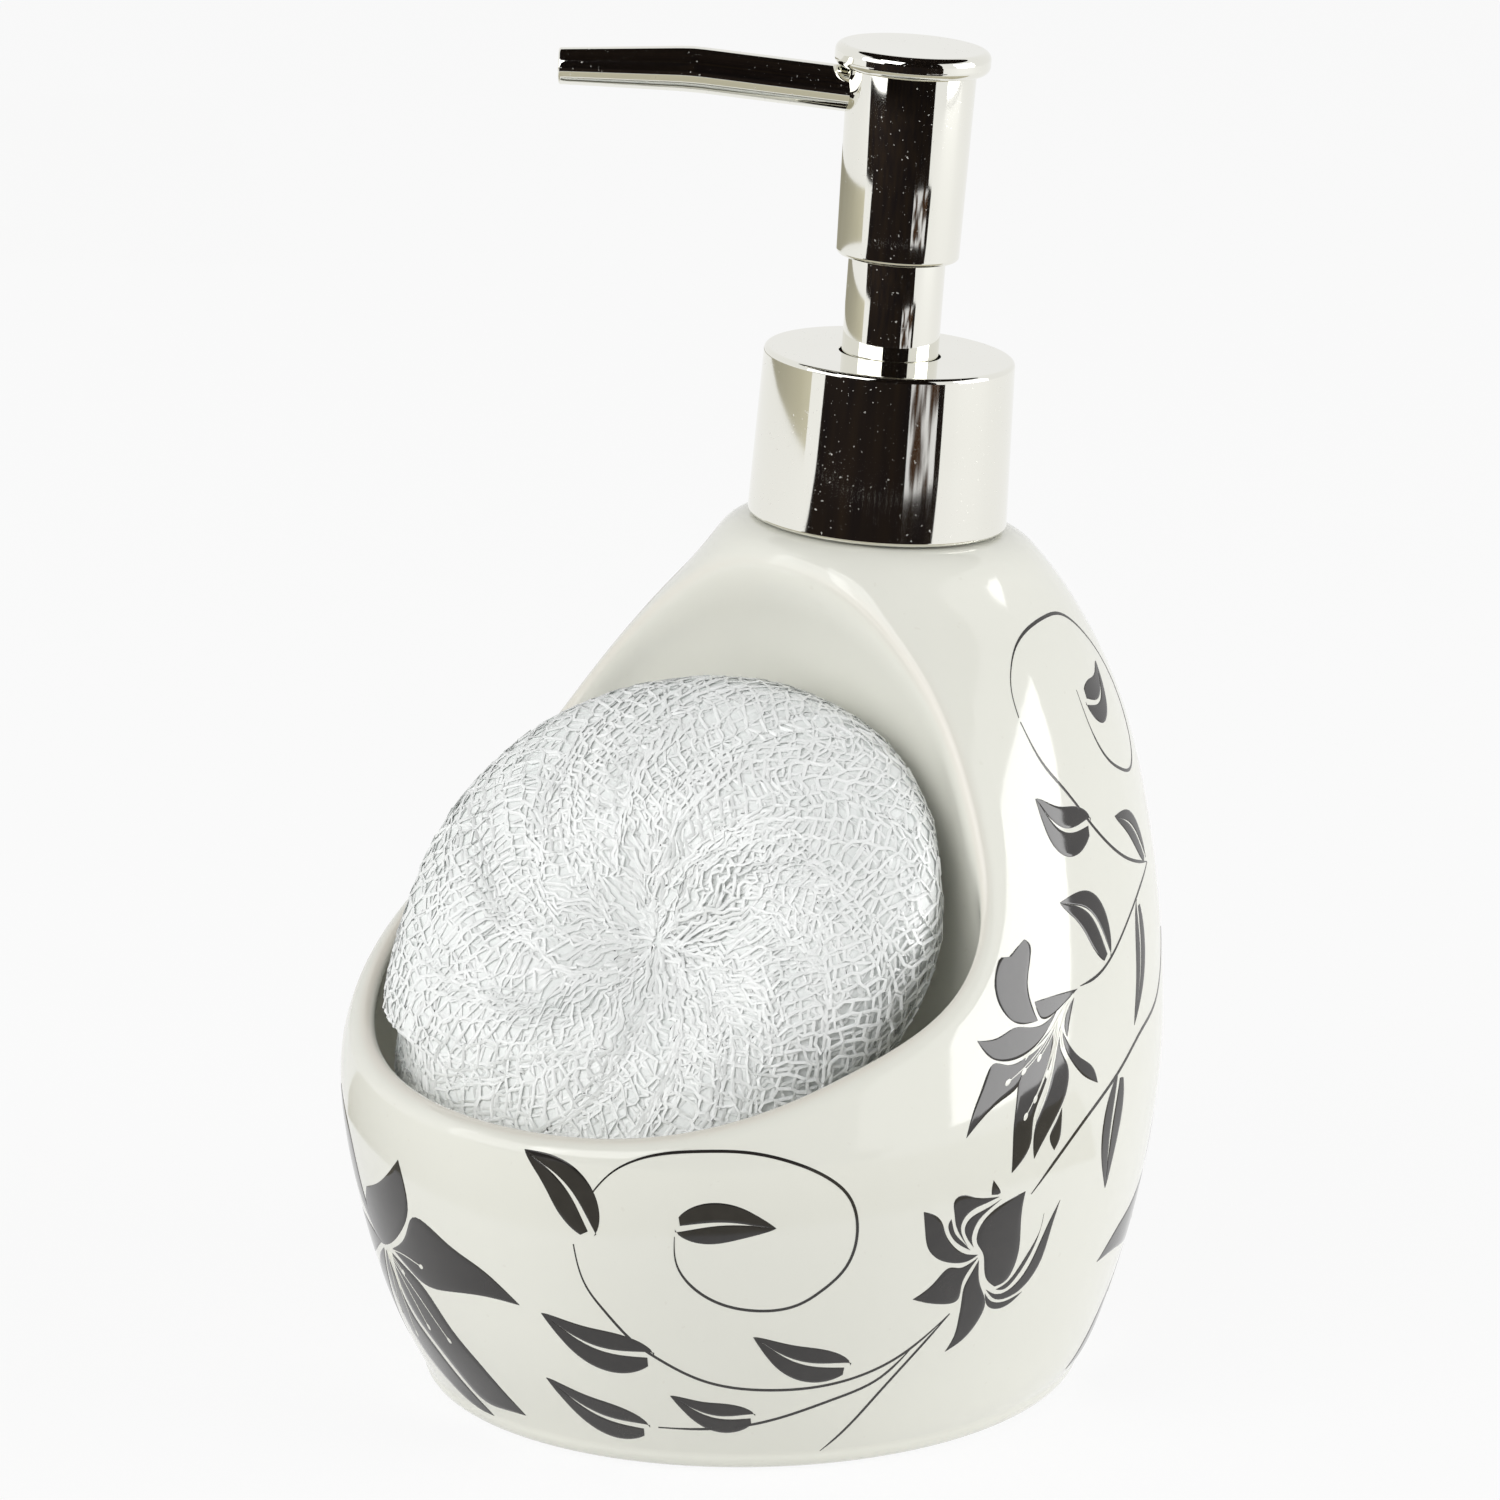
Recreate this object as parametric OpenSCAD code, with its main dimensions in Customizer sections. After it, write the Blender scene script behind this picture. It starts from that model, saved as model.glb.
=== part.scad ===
// Soap dispenser with a scrubber cradle: glazed ceramic body, lotion pump and knitted net scrubber.
// Z points up, the front faces -Y, and the origin is the middle of the foot on the counter.

/* [Ceramic body] */
// Width of the body at its belly
body_w = 99; // [92:0.5:106]
// Depth of the body at its belly, before the front bulges past it
body_d = 116; // [108:0.5:124]
// Height of the flat land that the collar stands over
body_h = 112; // [106:0.5:118]
// Thickness of the ceramic walls
wall_t = 4; // [3.2:0.1:4.8]
// Radius of the foot's rounded edge
foot_round = 2.5; // [1.5:0.1:3.5]
// Width of the ring that the body stands on
foot_band = 6; // [4:0.5:9]
// Rise of the hollow inside that ring
foot_rise = 1.5; // [0.8:0.1:2.2]
// Distance of the pump axis behind the middle of the foot
pump_back = 12; // [11:0.25:13]

/* [Cradle] */
// Height of the cradle's floor above the counter
cradle_floor = 27; // [25:0.5:28]
// Distance from the pump axis forward to the backrest
backrest_gap = 13; // [12.5:0.25:15]
// How far the backrest's sides come forward of its middle
backrest_bow = 5.5; // [3:0.5:7]
// Thickness of the front rim, where the wall thins to its edge
rim_t = 2.4; // [2:0.1:3]
// Thickness of the soft edge where the cradle runs out into the shoulder
ridge_t = 0.8; // [0.6:0.1:1.2]
// Length of the rounding below the front rim
rim_roll = 2.25; // [2:0.25:4]
// Length of the softer rounding along the upright ridge
ridge_roll = 7; // [4:0.5:9]
// Radius of the cradle's inner corners
cradle_corner = 12; // [8:1:16]

/* [Neck] */
// Radius of the neck hole
neck_r = 13.4; // [13.2:0.05:13.8]
// Depth of the straight neck hole
neck_depth = 9; // [8:0.5:10]
// Wall of the threaded insert
insert_wall = 2.2; // [1.8:0.1:2.6]
// Height of the insert above its flange, where its thread runs
insert_rise = 5.6; // [5:0.1:6.5]
// Thickness of the insert's flange
insert_flange = 1.2; // [1:0.1:1.5]

/* [Collar] */
// Outer radius of the collar at its lower edge
collar_r = 16.8; // [16.6:0.1:17.2]
// How much narrower the collar is at its top
collar_taper = 0.6; // [0.3:0.1:0.9]
// Height of the collar
collar_h = 21.8; // [21:0.1:24]
// Wall of the collar's metal skin
collar_skin = 1; // [0.8:0.1:1.1]
// Gap between the collar and the ceramic land
collar_gap = 0.3; // [0.3:0.05:0.6]

/* [Pump] */
// Full stroke of the pump
stroke = 11; // [9.5:0.25:11.5]
// Length of the return spring when the pump is pressed right down
spring_left = 15.3; // [14.5:0.1:18]
// Outer radius of the pump cylinder
cylinder_r = 6.6; // [6.4:0.1:7]
// Wall of the pump cylinder
cylinder_wall = 1.1; // [1:0.05:1.2]
// Outer radius of the dip tube
dip_r = 2.8; // [2.6:0.1:3]
// Wall of the dip tube
dip_wall = 0.7; // [0.5:0.05:0.8]
// Height of the dip tube's end above the counter
dip_end = 9; // [8:0.5:12]
// Radius of the valve ball
ball_r = 2; // [1.9:0.05:2.1]
// Outer radius of the hollow piston stem
stem_r = 3; // [2.9:0.05:3.1]
// Bore radius of the piston stem
stem_bore = 1.7; // [1.5:0.05:1.8]
// Wire radius of the return spring
wire_r = 0.4; // [0.35:0.05:0.45]
// Turns of the return spring
spring_turns = 6; // [5:1:7]

/* [Head] */
// Radius of the bright sleeve between the collar and the head
sleeve_r = 6.25; // [6.1:0.05:6.4]
// Length of that sleeve that still shows when the pump is pressed right down
sleeve_left = 1.6; // [1.2:0.1:3]
// Radius of the head's body at its top
head_r = 8.3; // [8:0.1:8.6]
// How much narrower the head's body is at its lower edge
head_taper = 0.4; // [0.2:0.1:0.6]
// Length of the head's body
head_l = 24.3; // [23:0.1:27]
// Radius of the cap on the head
cap_r = 10; // [9.6:0.1:10.4]
// Thickness of the cap
cap_t = 3; // [2.6:0.1:3.4]

/* [Spout] */
// Radius of the spout where it leaves the head
spout_r = 2.95; // [2.8:0.05:3.1]
// Radius of the spout at its tip
spout_tip_r = 2.35; // [2.2:0.05:2.5]
// Distance from the pump axis to the spout's bend
spout_bend = 28; // [26:0.5:30]
// Distance from the pump axis to the spout's tip
spout_reach = 45; // [42:0.5:48]
// Wall of the spout
spout_wall = 0.9; // [0.7:0.05:1]
// Distance from the spout's middle down from the cap
spout_below = 3.4; // [3.3:0.1:4]
// Angle that the spout climbs from the head
spout_climb = 3; // [2:0.5:5]
// Angle that the spout drops past its bend
spout_drop = 3; // [2:0.5:6]
// Direction of the spout, turned from the left side towards the front
spout_turn = 38; // [0:1:90]

/* [Scrubber] */
// Length of the net scrubber, up the backrest
scrub_l = 73.6; // [68:0.1:74]
// Thickness of the net scrubber
scrub_t = 22; // [18:0.1:22.4]
// Lean of the scrubber against the backrest
scrub_lean = 28; // [26:0.5:29]
// How far the scrubber's face is turned to the right
scrub_turn = 20; // [14:1:21]
// How far the scrubber sits to the right of the middle
scrub_side = 3; // [2:0.25:3.5]
// Gap between the scrubber and the cradle's floor and backrest
scrub_gap = 0.6; // [0.4:0.1:1.2]
// Gap between the scrubber and the cradle's sides
scrub_side_gap = 1.5; // [1.4:0.1:3]
// Depth of the gathered dimple in its middle
scrub_dimple = 4; // [3:0.5:6]
// Radius of that dimple
scrub_dimple_r = 11; // [8:0.5:14]
// Height of the gathers that run out from the dimple
scrub_gather = 0.5; // [0.2:0.1:0.8]

/* [Hidden] */
$fn = 96;

// Overrun that carries each cut past the face that it opens
over = 1;
// Running clearance of a shaft in its guide
run_gap = 0.05;
// Clearance between pieces that pass without touching
free_gap = 0.3;

// Body form: heights, half widths and reaches to the front and back, as shares of the body's sizes
height_shares = [0, 0.04, 0.10, 0.20, 0.30, 0.41, 0.52, 0.63, 0.73, 0.82, 0.89, 0.95, 1, 1.04, 1.07];
width_shares = [
  0.745, 0.81, 0.865, 0.933, 0.98, 1, 0.955, 0.865, 0.758, 0.652, 0.549, 0.45, 0.368, 0.22, 0.02
];
front_shares = [
  0.83, 0.875, 0.945, 1.025, 1.08, 1.088, 0.975, 0.795, 0.60, 0.425, 0.295, 0.193, 0.108, 0, -0.18
];
back_shares = [
  0.83, 0.85, 0.88, 0.905, 0.915, 0.915, 0.905, 0.89, 0.86, 0.80, 0.725, 0.635, 0.521, 0.40, 0.22
];
// Side view of the rim, from past the front to above the land, as shares of half depth and height
scoop_shares = [
  [-1.20, 0.400], [-1.00, 0.417], [-0.80, 0.452], [-0.60, 0.497], [-0.44, 0.536], [-0.30, 0.584],
  [-0.19, 0.657], [-0.13, 0.755], [-0.105, 0.860], [-0.125, 0.945], [-0.19, 1]
];
// Middle of the backrest: heights and how far it leans forward there, as shares of height and half depth
lean_shares = [
  [0, 0], [0.55, 0], [0.70, 0.015], [0.80, 0.036], [0.88, 0.064], [0.94, 0.098], [0.98, 0.132], [1.03, 0.18]
];
// How far forward of the body's middle the scrubber's middle lies, as a share of the half depth there
scrub_middle_share = 0.507;
// Half width that the backrest's bow is measured at, as a share of the belly's half width
bow_share = 0.65;
// The cradle's wall runs at full inset up to the first height and is clear of the backrest at the second
flare_shares = [[0, 1], [0.58, 1], [0.66, 0.6], [0.76, -0.6], [0.84, -1], [1.1, -1]];
// Points that the body's surfaces are laid out from, as shares of half depth and height
outer_eye_shares = [0, 0.44];
cradle_eye_shares = [-0.48, 0.43];
tank_eye_shares = [0.20, 0.14];
// How far round the rim its edge starts to thin towards the shoulder
lip_run_share = 0.6;
// Where the casting's base ends in the cradle's floor, and its shoulder begins up its height
base_share = 0.75;
shoulder_share = 0.67;
// Angles above the level at which the tank's wall is laid out from that point, along its rings
tank_angle_shares = [[0, -1], [0.12, -0.33], [0.22, -0.11], [0.5, 0.16], [0.75, 0.5], [1, 1]];

// Counts of points round the rim's right half and along the body's surfaces
rim_steps = 36;
outer_steps = 24;
lip_steps = 4;
cradle_steps = 15;
tank_round = 48;
tank_steps = 26;
foot_steps = 3;
halvings = 16;

half_w = body_w / 2;
half_d = body_d / 2;
backrest_y = pump_back - backrest_gap;
wall_table = [for (i = [0:len(height_shares) - 1]) [
  height_shares[i] * body_h, width_shares[i] * half_w,
  -front_shares[i] * half_d, back_shares[i] * half_d
]];
lean_table = [for (s = lean_shares) [s[0] * body_h, s[1] * half_d]];

// Slope of column c at row i of table t, taken from the rows beside it
function slope(t, c, i) =
  let (a = max(i - 1, 0), b = min(i + 1, len(t) - 1)) (t[b][c] - t[a][c]) / (t[b][0] - t[a][0]);
function row_below(t, x, i = 0) = i >= len(t) - 2 || x < t[i + 1][0] ? i : row_below(t, x, i + 1);
// Column c of table t at x, as a cubic through its rows
function smooth_at(t, c, x) =
  let (i = row_below(t, x), h = t[i + 1][0] - t[i][0], f = (x - t[i][0]) / h)
  (1 + 2 * f) * (1 - f) ^ 2 * t[i][c] + f ^ 2 * (3 - 2 * f) * t[i + 1][c]
  + h * f * (1 - f) * ((1 - f) * slope(t, c, i) - f * slope(t, c, i + 1));
function dense(t, c, n = 120) =
  let (low = t[0][0], high = t[len(t) - 1][0])
  [for (k = [0:n]) let (x = low + (high - low) * k / n) [x, smooth_at(t, c, x)]];
function mix(a, b, f) = a + (b - a) * f;
function ease(f) = f <= 0 ? 0 : f >= 1 ? 1 : f ^ 2 * (3 - 2 * f);
// The larger of two distances, rounded over r where they are alike
function blend_max(a, b, r) = max(a, b) + max(r - abs(a - b), 0) ^ 2 / (4 * r);
// Direction a fraction f of the way round from direction a to direction b
function swing(a, b, f) =
  let (u = a / norm(a), v = b / norm(b), w = acos(u * v)) (sin((1 - f) * w) * u + sin(f * w) * v) / sin(w);
// Distance along direction d from point p to where the field turns positive
function reach(field, p, d, lo, hi, n = halvings) =
  let (m = (lo + hi) / 2)
  n == 0 ? m : field(p + m * d) > 0 ? reach(field, p, d, lo, m, n - 1) : reach(field, p, d, m, hi, n - 1);
// Smooth curve through a list of points, s counted in points
function curve_at(points, s) =
  let (
    i = min(floor(s), len(points) - 2), f = s - i, p = points[i], q = points[i + 1],
    a = points[max(i - 1, 0)], b = points[min(i + 2, len(points) - 1)]
  )
  p + f * (q - a) / 2 + f ^ 2 * (2 * a - 5 * p + 4 * q - b) / 2 + f ^ 3 * (3 * p - a - 3 * q + b) / 2;
function bezier(a, b, c, d, f) =
  (1 - f) ^ 3 * a + 3 * (1 - f) ^ 2 * f * b + 3 * (1 - f) * f ^ 2 * c + f ^ 3 * d;

// Plan section of the body at height z: an oval of this half width, front and back
half_dense = dense(wall_table, 1);
front_dense = dense(wall_table, 2);
back_dense = dense(wall_table, 3);
lean_dense = dense(lean_table, 1);
function half_at(z) = lookup(z, half_dense);
function mid_at(z) = (lookup(z, front_dense) + lookup(z, back_dense)) / 2;
function depth_at(z) = (lookup(z, back_dense) - lookup(z, front_dense)) / 2;
// Distance of point p outside the body's outer face moved in by inset
function outside_wall(p, inset) =
  let (w = half_at(p.z), k = max(w - inset, over) / w)
  (norm([p.x / w, (p.y - mid_at(p.z)) / depth_at(p.z)]) - k) * w;
function backrest_at(p) =
  backrest_y - lookup(p.z, lean_dense) - backrest_bow * (p.x / (bow_share * half_w)) ^ 2;
top_z = height_shares[len(height_shares) - 1] * body_h;
body_field = function(p) max(outside_wall(p, 0), p.z - top_z);
cradle_field = function(p)
  let (inset = wall_t * lookup(p.z / body_h, flare_shares))
  blend_max(
    blend_max(outside_wall(p, inset), p.y - backrest_at(p), cradle_corner), cradle_floor - p.z, cradle_corner
  );
tank_field = function(p)
  blend_max(
    blend_max(
      blend_max(outside_wall(p, wall_t), wall_t - cradle_field(p), wall_t), foot_rise + wall_t - p.z, wall_t
    ),
    p.z - body_h + neck_depth, wall_t
  );

// Rim where the side view's scoop meets the outer face moved in by inset
function scoop_at(s) = let (q = curve_at(scoop_shares, s)) [0, q.x * half_d, q.y * body_h];
function crossing(inset, s_out, s_in, n = halvings) =
  let (m = (s_out + s_in) / 2)
  n == 0 ? m
  : outside_wall(scoop_at(m), inset) > 0 ? crossing(inset, m, s_in, n - 1)
  : crossing(inset, s_out, m, n - 1);
function rim_ends(inset) =
  let (last = len(scoop_shares) - 1) [crossing(inset, 0, last / 2), crossing(inset, last, last / 2)];
function rim_point(ends, inset, u) =
  let (
    p = scoop_at(mix(ends[0], ends[1], (1 - cos(180 * u)) / 2)), w = half_at(p.z),
    k = (p.y - mid_at(p.z)) / depth_at(p.z)
  )
  [w * sqrt(max((1 - inset / w) ^ 2 - k ^ 2, 0)), p.y, p.z];
outer_ends = rim_ends(0);
inner_ends = [rim_ends(rim_t)[0], rim_ends(ridge_t)[1]];
// Thickness at u of the rim's edge, and the length of the rounding on each side of it
function lip_at(u) = mix(rim_t, ridge_t, ease(2 * u - lip_run_share));
function roll_at(u) = mix(rim_roll, ridge_roll, ease(3 * u - 1));
eye_at = function(shares) [0, shares[0] * half_d, shares[1] * body_h];

// Points on the outer face, from the rim at f = 0 down to the foot at f = 1
far = body_d + body_h;
outer_eye = eye_at(outer_eye_shares);
function foot_point(u) =
  let (z = foot_round, a = 180 * u - 90) [half_at(z) * cos(a), mid_at(z) + depth_at(z) * sin(a), z];
function outer_point(u, f) =
  let (d = swing(rim_point(outer_ends, 0, u) - outer_eye, foot_point(u) - outer_eye, f))
  outer_eye + d * reach(body_field, outer_eye, d, 0, far);
// Points on the cradle's face, from the rim at f = 0 to the middle of its floor at f = 1
cradle_eye = eye_at(cradle_eye_shares);
down = [0, 0, -1];
function cradle_point(u, f) =
  let (
    a = rim_point(inner_ends, lip_at(u), u) - cradle_eye, d = swing(a, down, f),
    rim_gap = norm(a) - reach(cradle_field, cradle_eye, a / norm(a), 0, far)
  )
  cradle_eye + d * (reach(cradle_field, cradle_eye, d, 0, far) + rim_gap * (1 - f) ^ 3);
// Share of the way from the rim that the rounding takes
function roll_share(a, b, eye, roll) =
  let (p = a - eye, q = b - eye) roll / (norm(p) * acos(p * q / norm(p) / norm(q)) * PI / 180);
function outer_start(u) =
  roll_share(rim_point(outer_ends, 0, u), foot_point(u), outer_eye, roll_at(u));
function cradle_start(u) =
  roll_share(rim_point(inner_ends, lip_at(u), u), cradle_eye + down, cradle_eye, roll_at(u));

// A half ring runs from the front round the right side to the back, and the left side mirrors it
function full_ring(half) =
  concat(half, [for (i = [len(half) - 2:-1:1]) [-half[i].x, half[i].y, half[i].z]]);
us = [for (i = [0:rim_steps]) i / rim_steps];
outer_rings = [for (k = [outer_steps:-1:0])
  full_ring([for (u = us) outer_point(u, mix(outer_start(u), 1, k / outer_steps))])];
cradle_rings = [for (k = [0:cradle_steps - 1])
  full_ring([for (u = us) cradle_point(u, mix(cradle_start(u), 1, k / cradle_steps))])];
lip_rings = [for (k = [1:lip_steps - 1]) full_ring([for (i = [0:rim_steps])
  bezier(
    outer_rings[outer_steps][i], rim_point(outer_ends, 0, us[i]),
    rim_point(inner_ends, lip_at(us[i]), us[i]), cradle_rings[0][i], k / lip_steps
  )])];
// Underside: the hollow's edge, the flat ring and the rounded edge, each an inset and a height
foot_profile = concat(
  [[foot_round + foot_band + foot_rise, foot_rise], [foot_round + foot_band, 0]],
  [for (k = [0:foot_steps - 1]) let (a = 90 * k / foot_steps)
    [foot_round * (1 - sin(a)), foot_round * (1 - cos(a))]]
);
foot_rings = [for (e = foot_profile) full_ring([for (u = us)
  let (p = foot_point(u), c = mid_at(foot_round), k = 1 - e[0] / half_at(foot_round))
  [p.x * k, c + (p.y - c) * k, e[1]]])];

// Closed skin over a stack of rings, each end drawn in to one point
module skin(rings, first, last) {
  n = len(rings[0]);
  m = len(rings);
  points = concat([first], [for (r = rings) each r], [last]);
  at = function(j, i) 1 + j * n + i % n;
  faces = concat(
    [for (i = [0:n - 1]) [0, at(0, i), at(0, i + 1)]],
    [for (j = [0:m - 2], i = [0:n - 1]) each [
      [at(j, i), at(j + 1, i), at(j, i + 1)], [at(j, i + 1), at(j + 1, i), at(j + 1, i + 1)]]],
    [for (i = [0:n - 1]) [len(points) - 1, at(m - 1, i + 1), at(m - 1, i)]]
  );
  polyhedron(points, faces);
}
module body_shell() {
  floor_point = cradle_eye + down * reach(cradle_field, cradle_eye, down, 0, far);
  skin(
    concat(foot_rings, outer_rings, lip_rings, cradle_rings),
    [0, mid_at(foot_round), foot_rise], floor_point
  );
}
// Hollow behind the backrest and under the cradle that holds the soap
module tank() {
  eye = eye_at(tank_eye_shares);
  at = function(d) eye + d * reach(tank_field, eye, d, 0, far);
  rings = [for (k = [1:tank_steps - 1]) let (e = 90 * lookup(k / tank_steps, tank_angle_shares))
    [for (i = [0:tank_round - 1])
      let (a = 360 * i / tank_round) at([cos(e) * cos(a), cos(e) * sin(a), sin(e)])]];
  skin(rings, at(down), at(-down));
}
module neck_hole(r) {
  translate([0, pump_back, body_h - neck_depth - over]) cylinder(r = r, h = neck_depth + 2 * over);
}
// The casting is drawn as three stacked slices: its base, its belly round the cradle, and its shoulder
base_top = cradle_floor - base_share * wall_t;
shoulder_z = shoulder_share * body_h;
module slice(low, high) {
  resize([0, 0, high - low]) difference() {
    intersection() {
      body_shell();
      translate([-body_w, -body_d, low]) cube([2 * body_w, 2 * body_d, high - low]);
    }
    tank();
    neck_hole(neck_r - over);
  }
}
module ceramic_base() {
  color("ivory") difference() {
    slice(0, base_top + over);
    translate([-body_w, -body_d, base_top]) cube([2 * body_w, 2 * body_d, 2 * over]);
  }
}
module ceramic_body() {
  color("ivory") slice(base_top, shoulder_z);
}
module ceramic_shoulder() {
  color("ivory") difference() {
    slice(shoulder_z, body_h);
    neck_hole(neck_r);
  }
}

// Heights up the pump axis, each from the piece below it
gasket_t = 1;
cylinder_flange_t = 1.4;
insert_top = body_h + insert_flange + insert_rise;
cylinder_top = insert_top + gasket_t + cylinder_flange_t;
collar_bottom = body_h + collar_gap;
collar_top = collar_bottom + collar_h;
head_bottom = collar_top + stroke + sleeve_left;
head_top = head_bottom + head_l;

// Neck insert: outside and bore, thread crests and seal groove
insert_r = neck_r - run_gap;
insert_bore = insert_r - insert_wall;
thread_depth = 0.5;
thread_r = insert_r - thread_depth;
seat_overlap = 1.3;
seal_t = 1.2;
seal_h = 1.8;
seal_drop = 3;

// Turned piece on the pump axis, from a list of radius and height pairs
module turned(profile) {
  translate([0, pump_back, 0]) rotate_extrude() polygon(profile);
}
module neck_insert() {
  seal_top = body_h - seal_drop;
  color("whitesmoke") turned([
    [insert_bore, body_h - neck_depth], [insert_r, body_h - neck_depth],
    [insert_r, seal_top - seal_h], [insert_r - seal_t, seal_top - seal_h],
    [insert_r - seal_t, seal_top], [insert_r, seal_top],
    [insert_r, body_h], [neck_r + seat_overlap, body_h],
    [neck_r + seat_overlap, body_h + insert_flange], [thread_r, body_h + insert_flange],
    [thread_r, insert_top], [insert_bore, insert_top]
  ]);
}
module insert_seal() {
  seal_top = body_h - seal_drop;
  inner = insert_r - seal_t;
  color("dimgray") turned([
    [inner, seal_top - seal_h], [insert_r, seal_top - seal_h], [insert_r, seal_top], [inner, seal_top]
  ]);
}
module neck_gasket() {
  inner = cylinder_r + free_gap;
  color("gainsboro") turned([
    [inner, insert_top], [thread_r, insert_top],
    [thread_r, insert_top + gasket_t], [inner, insert_top + gasket_t]
  ]);
}

// Piston under the guide, at the top of its stroke
guide_depth = 4;
piston_h = 5;
rod_head_h = 1.4;
piston_top = cylinder_top - guide_depth - free_gap;
piston_bottom = piston_top - piston_h;
rod_bottom = piston_bottom - rod_head_h;
cylinder_floor = rod_bottom - stroke - spring_left;

// Pump cylinder: bore, ball chamber below its floor and socket for the dip tube
cylinder_bore = cylinder_r - cylinder_wall;
ball_lift = 1.5;
ball_play = 0.35;
chamber_r = ball_r + ball_play;
lip_r = ball_r - ball_play;
lip_h = 0.8;
seat_r = ball_r * sqrt(1 / 2);
seat_drop = ball_r - sqrt(ball_r ^ 2 - seat_r ^ 2);
seat_h = 1.2;
ball_gap = 0.05;
chamber_top = cylinder_floor - lip_h;
ball_z = chamber_top - ball_play - ball_lift - ball_r;
seat_z = ball_z - ball_gap - ball_r + seat_drop;
socket_r = dip_r + cylinder_wall;
socket_top = seat_z - seat_h;
socket_l = 7;
module pump_cylinder() {
  color("white") turned([
    [thread_r, cylinder_top], [cylinder_bore, cylinder_top], [cylinder_bore, cylinder_floor],
    [lip_r, cylinder_floor], [lip_r, chamber_top], [chamber_r, chamber_top],
    [chamber_r, seat_z], [seat_r, seat_z], [seat_r, socket_top], [dip_r, socket_top],
    [dip_r, socket_top - socket_l], [socket_r, socket_top - socket_l], [socket_r, seat_z],
    [cylinder_r, cylinder_floor - cylinder_wall], [cylinder_r, cylinder_top - cylinder_flange_t],
    [thread_r, cylinder_top - cylinder_flange_t]
  ]);
}
module dip_tube() {
  color("whitesmoke", 0.8) translate([0, pump_back, dip_end]) difference() {
    cylinder(r = dip_r, h = socket_top - dip_end);
    translate([0, 0, -over]) cylinder(r = dip_r - dip_wall, h = socket_top - dip_end + 2 * over);
  }
}
module valve_ball() {
  color("silver") translate([0, pump_back, ball_z]) sphere(r = ball_r);
}

// Guide in the cylinder's mouth: a skirt in the bore and a tower inside the bright sleeve
guide_skirt_wall = 0.9;
sleeve_wall = 1;
sleeve_bore = sleeve_r - sleeve_wall;
guide_r = sleeve_bore - free_gap;
tower_l = 9;
module stem_guide() {
  outer = cylinder_bore - run_gap;
  bore = stem_r + run_gap;
  color("white") turned([
    [outer, cylinder_top - guide_depth], [outer, cylinder_top], [guide_r, cylinder_top],
    [guide_r, cylinder_top + tower_l], [bore, cylinder_top + tower_l],
    [bore, cylinder_top - guide_skirt_wall], [outer - guide_skirt_wall, cylinder_top - guide_skirt_wall],
    [outer - guide_skirt_wall, cylinder_top - guide_depth]
  ]);
}

// Piston on its rod
piston_waist = 1;
piston_lip = 1;
rod_gap = 0.05;
rod_r = stem_bore - rod_gap;
rod_head_r = cylinder_bore - 2 * free_gap;
rod_l = 10;
piston_r = cylinder_bore - run_gap;
module piston() {
  color("ghostwhite") turned([
    [rod_r + rod_gap, piston_bottom], [piston_r, piston_bottom], [piston_r, piston_bottom + piston_lip],
    [piston_r - piston_waist, piston_bottom + 2 * piston_lip],
    [piston_r - piston_waist, piston_top - 2 * piston_lip],
    [piston_r, piston_top - piston_lip], [piston_r, piston_top], [rod_r + rod_gap, piston_top]
  ]);
}
module piston_rod() {
  color("white") turned([
    [0, rod_bottom], [rod_head_r, rod_bottom], [rod_head_r, piston_bottom], [rod_r, piston_bottom],
    [rod_r, piston_top + rod_l - rod_r], [0, piston_top + rod_l]
  ]);
}

// Return spring between the cylinder's floor and the rod's head, as one wire of flat-ended turns
spring_r = rod_head_r - wire_r;
spring_low = cylinder_floor + wire_r;
spring_high = rod_bottom - wire_r;
spring_sides = 6;
spring_rings = 14;
module return_spring() {
  n = spring_turns * spring_rings;
  rise = function(f) mix(spring_low, spring_high, ease(f));
  place = function(k) let (a = 360 * k / spring_rings)
    [spring_r * cos(a), spring_r * sin(a) + pump_back, rise(k / n)];
  rings = [for (k = [0:n]) let (a = 360 * k / spring_rings) [for (i = [0:spring_sides - 1])
    let (b = -360 * i / spring_sides)
    place(k) + wire_r * (cos(b) * [cos(a), sin(a), 0] + sin(b) * [0, 0, 1])]];
  color("silver") skin(rings, place(0), place(n));
}

// Hollow stem from the piston up into the head
stem_top = head_top - 2 * spout_below - spout_r;
module piston_stem() {
  color("white") translate([0, pump_back, 0]) difference() {
    translate([0, 0, piston_top + run_gap]) cylinder(r = stem_r, h = stem_top - piston_top - run_gap);
    translate([0, 0, piston_top - over]) cylinder(r = stem_bore, h = stem_top - piston_top + 2 * over);
  }
}

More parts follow.
